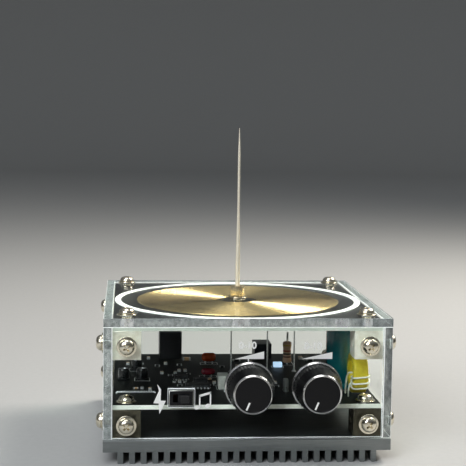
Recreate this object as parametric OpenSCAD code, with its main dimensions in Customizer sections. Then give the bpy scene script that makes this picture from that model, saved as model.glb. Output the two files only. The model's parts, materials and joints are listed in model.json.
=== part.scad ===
// Desktop resonant transformer.
// A clear acrylic box stands on a finned aluminium plate. A flat spiral winding lies under
// the top sheet and feeds a steel needle; the driver board, its two control knobs and a
// slide switch sit behind the front sheet.
// Origin: middle of the case, on the surface that the fins stand on. +Z up, front at -Y.

/* [Case] */
// Outer width of the case, left to right
case_w = 100; // [96:1:130]
// Outer depth of the case, front to rear
case_d = 100; // [96:1:130]
// Height of the four acrylic walls
wall_h = 39.1; // [36:0.1:60]
// Thickness of every acrylic sheet
sheet_t = 3; // [2:0.5:4]
// Edge length of the metal cube in each corner
block = 10; // [8:0.5:12]

/* [Heat sink] */
// Thickness of the aluminium plate above the fins
base_t = 4.3; // [3:0.1:8]
// Height of the fins
fin_h = 4.1; // [3:0.1:15]
// Thickness of one fin
fin_t = 2; // [1.2:0.1:2.6]
// Distance from one fin to the next
fin_pitch = 4; // [3.4:0.1:6]
// Radius on the edges of each fin's tip
fin_round = 0.5; // [0.1:0.05:0.55]
// Least distance from the side of the plate to the middle of the outer fin
fin_margin = 5; // [3:0.5:10]
// Bevel along the plate's upper edges
base_bevel = 0.4; // [0.1:0.05:1]

/* [Screws] */
// Diameter of every screw
screw_d = 3; // [2.5:0.1:3.5]
// Diameter of a screw's pan head
head_d = 5.5; // [4.5:0.1:6.5]
// Height of a screw's pan head
head_h = 2.1; // [1.5:0.1:2.8]
// Width of one arm of the cross recess in a head
recess_w = 0.7; // [0.4:0.05:1]
// Diameter of a washer
washer_d = 7; // [6:0.1:8]
// Thickness of a washer
washer_t = 0.5; // [0.3:0.1:1]
// Length of screw that is held in a corner cube
bite = 2.4; // [1.5:0.1:2.8]
// Radial room round a screw in a sheet, a board or a washer
hole_play = 0.2; // [0.1:0.05:0.5]
// Radial room round a screw in its thread
thread_play = 0.05; // [0.02:0.01:0.1]

/* [Top winding] */
// Thickness of the board that carries the winding
winding_board_t = 1.2; // [0.8:0.1:2]
// Room between that board and the top sheet
board_gap = 0.5; // [0.4:0.05:1]
// Room between a conductor and the top sheet
strand_play = 0.1; // [0.05:0.05:0.2]
// Outer radius of the spiral winding
winding_r = 39.2; // [32:0.1:40]
// Radius of the bare middle of the spiral winding
winding_hole_r = 7; // [5:0.1:10]
// Turns of the spiral winding
winding_turns = 24; // [16:1:24]
// Bare width between two turns
strand_gap = 0.45; // [0.42:0.01:0.6]
// Width of the single-turn ring round the winding
ring_w = 2.2; // [1:0.1:3]
// Distance from the ring to the case walls
ring_edge = 0.5; // [0.4:0.1:2]

/* [Needle] */
// Height of the needle's point above the top sheet
needle_h = 64.4; // [50:0.1:90]
// Diameter of the needle's thick root
needle_d = 1.7; // [1.2:0.1:2.2]
// Diameter of the needle below its sharpened point
needle_neck = 0.9; // [0.5:0.05:1.1]
// Length of the thick root above the stud
needle_root = 11; // [4:0.5:18]
// Length over which the root narrows to the neck
needle_taper = 18; // [8:0.5:22]
// Length of the needle's sharpened point
needle_point = 10; // [2:0.5:14]
// Width of the hexagonal stud across its flats
stud_af = 5; // [4.8:0.1:8]
// Angle that the stud is turned by
stud_turn = 10; // [0:1:60]
// Height of the hexagonal stud
stud_h = 4.2; // [3.5:0.1:10]
// Length of needle that is held in the stud
needle_seat = 1.6; // [1:0.1:1.9]
// Length of the clamping screw that is held in the stud
stud_bite = 1.8; // [1:0.1:2.2]

/* [Driver board] */
// Thickness of the driver board
board_t = 1.6; // [1:0.1:2]
// Room between a board's edge and the walls
board_play = 0.3; // [0.1:0.05:1]

/* [Controls] */
// Place of the left knob, from the middle of the case
freq_x = 0.2; // [-6:0.1:3]
// Distance between the two knobs
knob_spacing = 23.2; // [20:0.1:24]
// Height of the knob shafts above the driver board
shaft_lift = 7; // [6.5:0.1:9]
// Diameter of the knob shafts
shaft_d = 6; // [5:0.1:6.2]
// Radial room round a shaft that turns in its control
shaft_play = 0.08; // [0.03:0.01:0.1]
// Outer diameter of the collar that a shaft turns in
collar_d = 7.6; // [7:0.1:8.4]
// Radial room round the collar in the front sheet
collar_play = 0.2; // [0.1:0.05:0.4]
// Length of shaft that is held in the control
shaft_seat = 4; // [2:0.1:5]
// Width of a rotary control's body
pot_w = 9.6; // [9:0.1:11]
// Depth of a rotary control's body
pot_depth = 6.8; // [6:0.1:9]
// Height of a rotary control's body
pot_h = 11.6; // [11:0.1:14]
// Room between the rotary controls and the front sheet
pot_gap = 1; // [0.5:0.1:2]
// Diameter of a knob's skirt
knob_d = 17.3; // [13:0.1:19]
// Height of a knob
knob_h = 13.6; // [11:0.1:20]
// Height of a knob's skirt
skirt_h = 1.5; // [1:0.1:3]
// Height of the knurled band
knurl_h = 5.6; // [3:0.1:8]
// Depth of the knurling
knurl_depth = 0.3; // [0.1:0.05:0.5]
// Number of ridges in the knurling
knurl_count = 44; // [24:1:60]
// Diameter of a knob's front face
knob_front_d = 13.4; // [11:0.1:16]
// Bevel round a knob's front face
knob_bevel = 0.45; // [0.2:0.05:1]
// Depth of the dished front face
knob_dish = 0.4; // [0.1:0.05:1]
// Depth of the bore that a shaft sits in
knob_bore = 10; // [6:0.1:10.5]
// Room between a knob and the front sheet
knob_gap = 0.6; // [0.3:0.1:1.5]
// Width of the pointer line in a knob's face
pointer_w = 0.6; // [0.3:0.1:1]
// Length of the pointer line
pointer_len = 2.8; // [1:0.1:4]
// Direction of the pointer at rest, clockwise from the top
pointer_at = 203; // [180:1:240]

/* [Slide switch] */
// Place of the slide switch, from the middle of the case
switch_x = -23.2; // [-24:0.1:-18]
// Width of the switch's metal shell
switch_w = 8.6; // [8:0.1:11]
// Height of the switch's metal shell
switch_h = 5.6; // [5:0.1:7]
// Depth of the switch's metal shell
switch_depth = 7.4; // [7:0.1:9]
// Thickness of the shell's metal
shell_t = 0.5; // [0.3:0.05:0.8]
// Distance of the shell's face behind the front sheet's face
switch_gap = 0.2; // [0.1:0.05:0.5]
// Room round the switch in the front sheet's window
window_play = 0.25; // [0.1:0.05:0.5]
// Width of the sliding button
slider_w = 3.2; // [2.5:0.1:3.6]
// Height of the sliding button
slider_h = 2.6; // [2:0.1:3]
// Travel of the sliding button
slider_travel = 2.2; // [1.5:0.1:2.4]
// Running room round the sliding button
slider_play = 0.15; // [0.05:0.05:0.3]
// How far the button stands out of its shell
slider_out = 1.8; // [1:0.1:3]

/* [Board parts] */
// Diameter of the main electrolytic capacitor
cap_d = 10.5; // [8:0.1:12]
// Room between that capacitor and the winding board
cap_headroom = 0.8; // [0.3:0.1:3]
// Distance from the right wall to the middle of that capacitor
cap_wall = 10.3; // [9:0.1:13]
// Distance from the front sheet to the middle of that capacitor
cap_front = 28.5; // [28:0.1:40]
// Outer diameter of the toroid core
toroid_d = 15; // [13:0.1:17]
// Diameter of the toroid's hole
toroid_hole = 8.5; // [7.5:0.1:9.5]
// Thickness of the toroid core
toroid_t = 5.3; // [5:0.1:7]
// Rounding of the toroid's edges
toroid_round = 0.8; // [0.3:0.1:1.2]
// Distance from the right wall to the middle of the toroid
toroid_wall = 6.1; // [5:0.1:7]
// Distance from the front sheet to the middle of the toroid
toroid_front = 15; // [14.6:0.1:16]
// Diameter of the toroid's wire
wire_d = 0.7; // [0.4:0.05:0.75]
// Room between the toroid's wire and its core
wire_play = 0.08; // [0.03:0.01:0.2]
// Angle from one turn of the toroid's wire to the next
wire_step = 17; // [17:0.5:24]
// Diameter of the three leads between the boards
lead_d = 0.6; // [0.4:0.1:1.5]
// Width of the tall grey capacitor
film_w = 4; // [3:0.1:6]
// Depth of the tall grey capacitor
film_depth = 7; // [5:0.1:9]
// Height of the tall grey capacitor
film_h = 5; // [4:0.1:12]
// Diameter of the upright resistor
resistor_d = 3.2; // [2:0.1:4]
// Length of the upright resistor
resistor_h = 8.5; // [6:0.1:11]
// Diameter of a small capacitor's can
can_d = 4.3; // [3:0.1:5]
// Height of a small capacitor's can
can_h = 4.4; // [3:0.1:6]
// Distance from the left wall to the middle of the nearest can
can_wall = 4; // [3.5:0.1:6]
// Distance between the first two cans
can_step = 6.9; // [6:0.1:8]
// Width of a power transistor
transistor_w = 15.6; // [10:0.1:17]
// Length of a power transistor
transistor_l = 20.6; // [15:0.1:22]
// Thickness of a power transistor
transistor_t = 4.6; // [3:0.1:5]
// Thickness of the pad under a power transistor
pad_t = 0.5; // [0.2:0.1:1]

/* [Rear sockets] */
// Place of the power socket, from the middle of the case
power_in_x = -24; // [-28:0.1:-14]
// Width of the power socket
power_in_w = 9; // [8:0.1:11]
// Height of the power socket
power_in_h = 11; // [10:0.1:13]
// Bore of the power socket
power_in_bore = 5.7; // [5.5:0.1:6.5]
// Diameter of the power socket's centre pin
power_in_pin = 2; // [1.6:0.1:2.5]
// Place of the audio socket, from the middle of the case
audio_in_x = 14; // [4:0.1:20]
// Width of the audio socket
audio_in_w = 7; // [6:0.1:9]
// Height of the audio socket
audio_in_h = 6; // [5.8:0.1:8]
// Diameter of the audio socket's nose
audio_nose_d = 5.2; // [4.8:0.1:5.6]
// Bore of the audio socket
audio_bore = 3.6; // [3.5:0.05:3.8]
// Depth of both sockets, from the rear face of the case
socket_depth = 14; // [12:0.1:18]
// Room round a socket in the rear sheet
socket_play = 0.2; // [0.1:0.05:0.5]

/* [Hidden] */
$fn = 48;
eps = 1;                       // how far a cutting shape runs past a face
base_top = fin_h + base_t;     // upper face of the heat sink
wall_top = base_top + wall_h;  // upper edge of the walls
case_top = wall_top + sheet_t; // upper face of the top sheet
in_x = case_w / 2 - sheet_t;   // inner face of a side wall
in_y = case_d / 2 - sheet_t;   // inner face of the front or rear sheet
block_x = in_x - block / 2;
block_y = in_y - block / 2;
winding_board_z = wall_top - board_gap - winding_board_t;
low_z = base_top + block / 2;
high_z = winding_board_z - block / 2;
board_z = base_top + block;
board_top = board_z + board_t;
shaft_z = board_top + shaft_lift;
power_x = freq_x + knob_spacing;
hole_d = screw_d + 2 * hole_play;
thread_d = screw_d + 2 * thread_play;
fin_side = floor((case_w / 2 - fin_margin) / fin_pitch);  // fins on each side of the middle
strand_t = board_gap - strand_play;
strand_pitch = (winding_r - winding_hole_r) / winding_turns;
strand_w = strand_pitch - strand_gap;
ring_r = min(in_x, in_y) - ring_edge;
pot_front = -in_y + pot_gap;
switch_front = -case_d / 2 + switch_gap;
face_y = -case_d / 2 - knob_gap;   // rear face of the knobs
slot_w = slider_w + slider_travel + 2 * slider_play;
steps = 24;                        // rings in one loop of a winding
cap_x = in_x - cap_wall;
cap_y = -in_y + cap_front;
toroid_x = in_x - toroid_wall;
toroid_y = -in_y + toroid_front;
wire_off = wire_d / 2 + wire_play;
toroid_z = board_top + toroid_d / 2 + wire_d + 2 * wire_play;
audio_z = board_top + audio_in_h / 2;
power_in_z = board_top + power_in_h - 4.7;
transistor_y = 4;                  // front edge of the power transistors' bodies
transistor_leg = 1.2;
transistor_places = [-14, 14];
transistor_hole_y = transistor_y + transistor_l - 6;
transistor_bite = base_t * 0.7;
lead_places = [[-1.4, 10], [12.8, 10], [23.4, 10]];
film_at = [-6.6, -19];
orange_at = [-9, 26];
red_at = [-10.9, 1];
resistor_at = [22.4, 24];
lamp_at = [18, 19];
can_foot = can_d + 0.3;
can_foot_t = 0.7;
can_right = 9;
can_places = [[-in_x + can_wall, -4], [-in_x + can_wall + can_step, -4],
              [-in_x + can_wall + 5, 14], [in_x - can_right, -6], [4, -24]];
pin_pitch = 1.27;
pin_w = 0.44;
pin_h = 0.5;
pin_reach = 0.9;
chip_depth = 4;
chip_h = 1.6;
wide_chip_depth = 7.4;
wide_chip_h = 2.2;
chip_places = [[-21.4, -4], [-14.5, -10], [-16, -19], [30, 4]];
chip_pins = [8, 8, 14, 8];
wide_chip_at = [6, -4];
wide_chip_pins = 16;
lamp = [3.5, 2.8, 1.9];

// ---- fastenings ----

// A pan-head screw that points down, with the underside of its head at the origin.
module screw(length) {
    dome_r = head_d * 0.85;
    difference() {
        union() {
            intersection() {
                cylinder(d = head_d, h = head_h);
                translate([0, 0, head_h - dome_r]) sphere(r = dome_r);
            }
            translate([0, 0, -length]) cylinder(d = screw_d, h = length + head_h / 4);
        }
        for (turn = [0, 90])
            rotate([0, 0, turn])
                translate([-head_d * 0.3, -recess_w / 2, head_h * 0.45])
                    cube([head_d * 0.6, recess_w, head_h]);
    }
}

module washer() {
    difference() {
        cylinder(d = washer_d, h = washer_t);
        translate([0, 0, -eps]) cylinder(d = hole_d, h = washer_t + 2 * eps);
    }
}

// Places its children at the four corners, at the height z.
module at_corners(z) {
    for (x = [-block_x, block_x], y = [-block_y, block_y])
        translate([x, y, z]) children();
}

// Places its children on the front sheet (side -1) or the rear sheet (side 1), at the cubes.
module at_sheet(side, off) {
    for (x = [-block_x, block_x], z = [low_z, high_z])
        translate([x, side * (case_d / 2 + off), z]) rotate([-90 * side, 0, 0]) children();
}

// Places its children on one side wall, at the cubes.
module at_wall(side, off) {
    for (y = [-block_y, block_y], z = [low_z, high_z])
        translate([side * (case_w / 2 + off), y, z]) rotate([0, 90 * side, 0]) children();
}

module sheet_screw() {
    screw(washer_t + sheet_t + bite);
}

// A drilling tool that runs from a sheet's outer face inwards.
module drill(d, depth) {
    translate([0, 0, -depth]) cylinder(d = d, h = depth + eps);
}

// ---- case ----

module heat_sink() {
    color("#8f9590")
    difference() {
        union() {
            translate([0, case_d / 2, 0]) rotate([90, 0, 0])
                linear_extrude(case_d) heat_sink_section();
            // the plate's upper edges are bevelled all round
            translate([-case_w / 2, -case_d / 2, fin_h])
                cube([case_w, case_d, base_t - base_bevel]);
        }
        for (side = [-1, 1])
            translate([0, side * case_d / 2, base_top])
                rotate([45, 0, 0])
                    cube([case_w + 2, base_bevel * sqrt(2), base_bevel * sqrt(2)], center = true);
        at_corners(-eps) cylinder(d = hole_d, h = base_top + 2 * eps);
        // pockets through the fins for the heads of the base screws
        at_corners(-eps) cylinder(d = washer_d, h = fin_h + eps);
        for (x = transistor_places)
            translate([x, transistor_hole_y, base_top - transistor_bite])
                cylinder(d = thread_d, h = base_t);
    }
}

// Front view of the heat sink: the bevelled plate over a row of round-tipped fins.
module heat_sink_section() {
    b = base_bevel;
    polygon([[-case_w / 2, fin_h], [case_w / 2, fin_h], [case_w / 2, base_top - b],
             [case_w / 2 - b, base_top], [-case_w / 2 + b, base_top],
             [-case_w / 2, base_top - b]]);
    for (i = [-fin_side:fin_side])
        translate([i * fin_pitch, 0]) fin_section();
}

module fin_section() {
    r = fin_round;
    translate([-fin_t / 2, r]) square([fin_t, fin_h - r + base_t / 2]);
    translate([-fin_t / 2 + r, 0]) square([fin_t - 2 * r, 2 * r]);
    for (side = [-1, 1])
        translate([side * (fin_t / 2 - r), r]) circle(r = r);
}

module side_wall(side) {
    difference() {
        translate([side > 0 ? in_x : -case_w / 2, -case_d / 2, base_top])
            cube([sheet_t, case_d, wall_h]);
        at_wall(side, 0) drill(hole_d, sheet_t + eps);
    }
}

module left_wall() {
    color("#dfe8e6", 0.35) side_wall(-1);
}

module right_wall() {
    color("#dfe8e6", 0.35) side_wall(1);
}

module front_panel() {
    color("#dfe8e6", 0.35)
    difference() {
        translate([-in_x, -case_d / 2, base_top]) cube([2 * in_x, sheet_t, wall_h]);
        at_sheet(-1, 0) drill(hole_d, sheet_t + eps);
        for (x = [freq_x, power_x])
            translate([x, -case_d / 2, shaft_z]) rotate([90, 0, 0])
                drill(collar_d + 2 * collar_play, sheet_t + eps);
        translate([switch_x - switch_w / 2 - window_play, -case_d / 2 - eps,
                   board_top - window_play])
            cube([switch_w + 2 * window_play, sheet_t + 2 * eps, switch_h + 2 * window_play]);
    }
}

module rear_panel() {
    p = socket_play;
    color("#dfe8e6", 0.35)
    difference() {
        translate([-in_x, in_y, base_top]) cube([2 * in_x, sheet_t, wall_h]);
        at_sheet(1, 0) drill(hole_d, sheet_t + eps);
        translate([power_in_x - power_in_w / 2 - p, in_y - eps, board_top - p])
            cube([power_in_w + 2 * p, sheet_t + 2 * eps, power_in_h + 2 * p]);
        translate([audio_in_x, case_d / 2, audio_z]) rotate([-90, 0, 0])
            drill(audio_nose_d + 2 * p, sheet_t + eps);
    }
}

module top_plate() {
    color("#dfe8e6", 0.35)
    difference() {
        translate([-case_w / 2, -case_d / 2, wall_top]) cube([case_w, case_d, sheet_t]);
        at_corners(case_top) drill(hole_d, sheet_t + eps);
        translate([0, 0, case_top]) drill(hole_d, sheet_t + eps);
    }
}

// A metal cube with a tapped hole along each of its three directions.
module corner_block() {
    difference() {
        cube(block, center = true);
        cylinder(d = thread_d, h = block + eps, center = true);
        rotate([90, 0, 0]) cylinder(d = thread_d, h = block + eps, center = true);
        rotate([0, 90, 0]) cylinder(d = thread_d, h = block + eps, center = true);
    }
}

module upper_blocks() {
    color("#d8d4c8") at_corners(high_z) corner_block();
}

module lower_blocks() {
    color("#6d6a60") at_corners(low_z) corner_block();
}

module top_screws() {
    color("#d9d6cc") at_corners(case_top + washer_t)
        screw(washer_t + sheet_t + board_gap + winding_board_t + bite);
}

module top_washers() {
    color("#c9c6bc") at_corners(case_top) washer();
}

module front_screws() {
    color("#d9d6cc") at_sheet(-1, washer_t) sheet_screw();
}

module front_washers() {
    color("#c9c6bc") at_sheet(-1, 0) washer();
}

module rear_screws() {
    color("#d9d6cc") at_sheet(1, washer_t) sheet_screw();
}

module rear_washers() {
    color("#c9c6bc") at_sheet(1, 0) washer();
}

module side_screws() {
    color("#d9d6cc")
    for (side = [-1, 1]) at_wall(side, washer_t) sheet_screw();
}

module side_washers() {
    color("#c9c6bc")
    for (side = [-1, 1]) at_wall(side, 0) washer();
}

module base_screws() {
    color("#d9d6cc") at_corners(fin_h) rotate([180, 0, 0]) screw(base_t + bite);
}

// ---- top winding and needle ----

module winding_board() {
    color("#101210")
    difference() {
        translate([-in_x + board_play, -in_y + board_play, winding_board_z])
            cube([2 * (in_x - board_play), 2 * (in_y - board_play), winding_board_t]);
        at_corners(winding_board_z - eps) cylinder(d = hole_d, h = winding_board_t + 2 * eps);
        translate([0, 0, winding_board_z - eps])
            cylinder(d = hole_d, h = winding_board_t + 2 * eps);
    }
}

// A closed skin over a row of rings that all have the same number of points.
module skin(rings) {
    n = len(rings[0]);
    last = (len(rings) - 1) * n;
    sides = [for (i = [0:len(rings) - 2], j = [0:n - 1]) each
        let (a = i * n + j, b = i * n + (j + 1) % n)
        [[a, b, b + n], [a, b + n, a + n]]];
    caps = [for (j = [1:n - 2]) each [[0, j + 1, j], [last, last + j, last + j + 1]]];
    polyhedron(points = [for (ring = rings) each ring], faces = concat(sides, caps));
}

// Radius of the spiral's middle line after i steps.
function strand_r(i) = winding_hole_r + strand_w / 2 + strand_pitch * i / steps
    * (1 - strand_w / (winding_r - winding_hole_r));

// One six-sided ring of the flat conductor: off runs across it, up runs through it.
function strand_ring(i) = [for (k = [0:5])
    let (r = strand_r(i) + strand_w / 2 * cos(60 * k), a = 360 * i / steps)
    [r * cos(a), r * sin(a), strand_z + strand_t / 2 * sin(60 * k) / sin(60)]];

strand_z = wall_top - board_gap + strand_t / 2;
strand_rings = [for (i = [0:winding_turns * steps]) strand_ring(i)];

// Least distance between the outer edge of one turn and the inner edge of the next.
strand_clear = min([for (i = [0:(winding_turns - 1) * steps], j = [-1:1])
    let (k = min(i + steps + j, winding_turns * steps))
    norm(strand_rings[i][0] - strand_rings[k][3])]);
echo(least_gap_of_the_spiral_winding = strand_clear);

module secondary_winding() {
    color("#b8913a") skin([for (ring = strand_rings) [for (k = [5:-1:0]) ring[k]]]);
}

module primary_ring() {
    color("#f2f2ee")
    translate([0, 0, wall_top - board_gap])
        difference() {
            cylinder(r = ring_r, h = strand_t, $fn = 96);
            translate([0, 0, -eps]) cylinder(r = ring_r - ring_w, h = strand_t + 2 * eps, $fn = 96);
        }
}

module needle_washer() {
    color("#c9c6bc") translate([0, 0, case_top]) washer();
}

module needle_stud() {
    color("#c8b26a")
    translate([0, 0, case_top + washer_t])
        difference() {
            rotate([0, 0, stud_turn]) cylinder(d = stud_af / cos(30), h = stud_h, $fn = 6);
            translate([0, 0, -eps]) cylinder(d = thread_d, h = stud_bite + 0.2 + eps);
            translate([0, 0, stud_h - needle_seat])
                cylinder(d = needle_d + 2 * thread_play, h = needle_seat + eps);
        }
}

// The needle narrows from its root to a slender neck, and ends in a sharpened point.
module discharge_needle() {
    root_top = case_top + washer_t + stud_h + needle_root;
    bottom = root_top - needle_root - needle_seat;
    tip = case_top + needle_h;
    color("#d5d2c6")
        rotate_extrude()
            polygon([[0, bottom], [needle_d / 2, bottom], [needle_d / 2, root_top],
                     [needle_neck / 2, root_top + needle_taper],
                     [needle_neck / 2, tip - needle_point], [needle_neck / 8, tip], [0, tip]]);
}

module needle_screw() {
    color("#d9d6cc")
    translate([0, 0, winding_board_z]) rotate([180, 0, 0])
        screw(winding_board_t + board_gap + sheet_t + washer_t + stud_bite);
}

// ---- driver board ----

module main_board() {
    color("#121412")
    difference() {
        translate([-in_x + board_play, -in_y + board_play, board_z])
            cube([2 * (in_x - board_play), 2 * (in_y - board_play), board_t]);
        at_corners(board_z - eps) cylinder(d = hole_d, h = board_t + 2 * eps);
    }
}

module board_screws() {
    color("#d9d6cc") at_corners(board_top + washer_t) screw(washer_t + board_t + bite);
}

module board_washers() {
    color("#c9c6bc") at_corners(board_top) washer();
}

// Two power transistors lie on the heat sink, with their legs bent up to the board.
module power_transistors() {
    z = base_top + pad_t;
    color("#1b1b1b")
    for (x = transistor_places)
        translate([x, transistor_y, z]) {
            difference() {
                translate([-transistor_w / 2, 0, 0])
                    cube([transistor_w, transistor_l, transistor_t]);
                translate([0, transistor_l - 6, -eps])
                    cylinder(d = hole_d, h = transistor_t + 2 * eps);
            }
            for (leg = [-1, 0, 1])
                translate([leg * transistor_w * 0.35 - transistor_leg / 2, -3.4, 1.8]) {
                    cube([transistor_leg, 4.4, 0.6]);
                    cube([transistor_leg, 0.6, board_z - z - 1.8]);
                }
        }
}

module transistor_pads() {
    margin = 1;
    color("#9fa6a8")
    for (x = transistor_places)
        translate([x - transistor_w / 2 - margin, transistor_y - margin, base_top])
            difference() {
                cube([transistor_w + 2 * margin, transistor_l + 2 * margin, pad_t]);
                translate([transistor_w / 2 + margin, transistor_l - 6 + margin, -eps])
                    cylinder(d = hole_d, h = pad_t + 2 * eps);
            }
}

module transistor_screws() {
    color("#d9d6cc")
    for (x = transistor_places)
        translate([x, transistor_hole_y, base_top + pad_t + transistor_t])
            screw(pad_t + transistor_t + transistor_bite - 0.3);
}

// The tall electrolytic: a rolled-in foot, a groove above it and a domed lid.
module bulk_capacitor() {
    h = winding_board_z - cap_headroom - board_top;
    r = cap_d / 2;
    color("#1f7f86")
    translate([cap_x, cap_y, board_top])
        rotate_extrude()
            polygon([[0, 0], [r - 0.6, 0], [r, 0.6], [r, 1.8], [r - 0.4, 2.4], [r, 3],
                     [r, h - 0.6], [r - 0.6, h], [r - 1.2, h - 0.4], [0, h - 0.4]]);
}

// The toroid stands on the board with its axis from left to right.
module toroid_core() {
    r = toroid_round;
    t = toroid_t / 2;
    color("#d9c92e")
    translate([toroid_x, toroid_y, toroid_z]) rotate([0, 90, 0])
        rotate_extrude($fn = 64)
            for (side = [-1, 1]) {
                translate([toroid_hole / 2, -t + r]) square([(toroid_d - toroid_hole) / 2, 2 * (t - r)]);
                translate([toroid_hole / 2 + r, -t]) square([(toroid_d - toroid_hole) / 2 - 2 * r, 2 * t]);
                translate([toroid_hole / 2 + r, side * (t - r)]) circle(r = r, $fn = 32);
                translate([toroid_d / 2 - r, side * (t - r)]) circle(r = r, $fn = 32);
            }
}

// Route of one turn round the core's section: k counts its 24 points, four on each corner
// and two along each side, and the answer is [outwards, sideways] from the section's middle.
function turn_corner(q, j) =
    let (a = (toroid_d - toroid_hole) / 4 - toroid_round, b = toroid_t / 2 - toroid_round,
         r = toroid_round + wire_off, sx = q == 0 || q == 3 ? 1 : -1, sy = q < 2 ? 1 : -1,
         ang = 90 * q + 30 * j)
    [sx * a + r * cos(ang), sy * b + r * sin(ang)];

function turn_point(k) =
    let (q = floor(k / 6) % 4, j = k % 6)
    j < 4 ? turn_corner(q, j)
          : let (u = (j - 3) / 3) turn_corner(q, 3) * (1 - u) + turn_corner((q + 1) % 4, 0) * u;

// A point of the wire after i steps of its turns, in the case's frame.
function wire_point(i) =
    let (p = turn_point(i % steps), phi = wire_start + wire_step * i / steps,
         r = (toroid_d + toroid_hole) / 4 + p[0])
    [toroid_x - p[1], toroid_y + r * cos(phi), toroid_z + r * sin(phi)];

wire_start = 168;
wire_turns = 3;
wire_loops = [for (i = [8:wire_turns * steps + 8]) wire_point(i)];
wire_first = wire_loops[0];
wire_last = wire_loops[len(wire_loops) - 1];
wire_path = concat(
    [[toroid_x - toroid_t / 2 - 3 * wire_off, toroid_y + 2, board_top],
     [toroid_x - toroid_t / 2 - 3 * wire_off, toroid_y + 2, board_top + wire_d],
     [toroid_x - toroid_t / 2 - 3 * wire_off, toroid_y + 1.6, board_top + 3],
     [toroid_x - toroid_t / 2 - 3 * wire_off, toroid_y + 0.4, toroid_z - 2.5],
     [toroid_x - toroid_t / 2 - 2.6 * wire_off, toroid_y - 1, toroid_z - 0.6],
     [toroid_x - toroid_t / 2 - 2 * wire_off, wire_first[1] + 1.2, wire_first[2] + 0.1]],
    wire_loops,
    [[wire_last[0] - 0.9, wire_last[1] - 0.5, wire_last[2] - 1],
     [wire_last[0] - 1.4, wire_last[1] - 0.7, board_top + 3],
     [wire_last[0] - 1.4, wire_last[1] - 0.7, board_top + wire_d],
     [wire_last[0] - 1.4, wire_last[1] - 0.7, board_top]]);

// Least distance between two turns of the toroid's wire.
wire_clear = min([for (i = [0:len(wire_loops) - steps - 1], j = [-1:1])
    norm(wire_loops[i] - wire_loops[min(i + steps + j, len(wire_loops) - 1)])]) - wire_d;
echo(least_gap_of_the_toroid_winding = wire_clear);

function unit(v) = v / norm(v);
function along(path, i) =
    unit(path[min(i + 1, len(path) - 1)] - path[max(i - 1, 0)]);

// A round wire: each ring's side direction is the last one's, squared up to the route.
module wire(path, d) {
    sides = 6;
    square_up = function (v, t) unit(v - (v * t) * t);
    across = [for (i = 0, v = square_up([1, 0, 0], along(path, 0)); i < len(path);
                   i = i + 1, v = i < len(path) ? square_up(v, along(path, i)) : v) v];
    skin([for (i = [0:len(path) - 1])
        let (t = along(path, i), u = across[i], w = cross(t, u))
        [for (k = [0:sides - 1])
            let (a = -360 * k / sides)
            let (off = u * cos(a) + w * sin(a))
            path[i] + d / 2 * (i == 0 || i == len(path) - 1 ? [off[0], off[1], 0] : off)]]);
}

module toroid_winding() {
    color("#d8d5c4") wire(wire_path, wire_d);
}

// Three insulated leads join the driver board to the ring and the winding above.
module coil_leads() {
    color("#4a4d4c")
    for (place = lead_places)
        translate([place[0], place[1], board_top])
            cylinder(d = lead_d, h = winding_board_z - board_top);
}

module film_capacitor() {
    color("#b9bab2")
    translate([film_at[0] - film_w / 2, film_at[1] - film_depth / 2, board_top])
        cube([film_w, film_depth, film_h]);
}

// A dipped capacitor: a round-cornered slab on two legs.
module dipped_capacitor(w, h, t, r, lift) {
    leg_d = 0.6;
    translate([0, t / 2, lift]) rotate([90, 0, 0])
        linear_extrude(t) {
            translate([-w / 2 + r, 0]) square([w - 2 * r, h]);
            translate([-w / 2, r]) square([w, h - 2 * r]);
            for (x = [-w / 2 + r, w / 2 - r], z = [r, h - r])
                translate([x, z]) circle(r = r);
        }
    for (x = [-w / 4, w / 4])
        translate([x, 0, 0]) cylinder(d = leg_d, h = lift + h / 2);
}

module orange_capacitor() {
    color("#b5502a")
    translate([orange_at[0], orange_at[1], board_top]) dipped_capacitor(5.8, 3.5, 3, 1.4, 0.9);
}

module red_capacitor() {
    color("#8f2f38")
    translate([red_at[0], red_at[1], board_top]) dipped_capacitor(5.4, 2.6, 2.6, 1.1, 0.6);
}

// The resistor stands on end, and its upper lead bends over and comes down behind it.
module upright_resistor() {
    lead = 0.7;
    bend = resistor_d / 2 + 0.6;
    lift = 0.8;
    rise = resistor_h + lift + 0.9;
    color("#c9a07c")
    translate([resistor_at[0], resistor_at[1], board_top]) rotate([0, 0, 80]) {
        translate([0, 0, lift]) cylinder(d = resistor_d, h = resistor_h);
        translate([0, 0, lift + resistor_h - 1.8]) cylinder(d = resistor_d + 0.4, h = 1.8);
        translate([0, 0, lift]) cylinder(d = resistor_d + 0.4, h = 1.8);
        cylinder(d = lead, h = rise);
        translate([2 * bend, 0, 0]) cylinder(d = lead, h = rise);
        translate([bend, 0, rise]) rotate([90, 0, 0])
            rotate_extrude(angle = 180) translate([bend, 0]) circle(d = lead, $fn = 24);
    }
}

// A surface-mounted chip with pins in two rows, front and rear.
module chip(pins, depth, h) {
    w = pins / 2 * pin_pitch;
    translate([-w / 2, -depth / 2, pin_h / 5]) cube([w, depth, h]);
    for (i = [0:pins / 2 - 1], side = [-1, 1])
        translate([(i - (pins / 2 - 1) / 2) * pin_pitch - pin_w / 2,
                   side * depth / 2 - pin_reach, 0])
            cube([pin_w, 2 * pin_reach, pin_h]);
}

module driver_chips() {
    color("#1c1c1e") {
        for (i = [0:len(chip_places) - 1])
            translate([chip_places[i][0], chip_places[i][1], board_top])
                chip(chip_pins[i], chip_depth, chip_h);
        translate([wide_chip_at[0], wide_chip_at[1], board_top])
            chip(wide_chip_pins, wide_chip_depth, wide_chip_h);
    }
}

module small_capacitors() {
    color("#17181a")
    for (place = can_places)
        translate([place[0], place[1], board_top]) {
            cylinder(d = can_d, h = can_h);
            translate([-can_foot / 2, -can_foot / 2, 0]) cube([can_foot, can_foot, can_foot_t]);
        }
}

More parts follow.
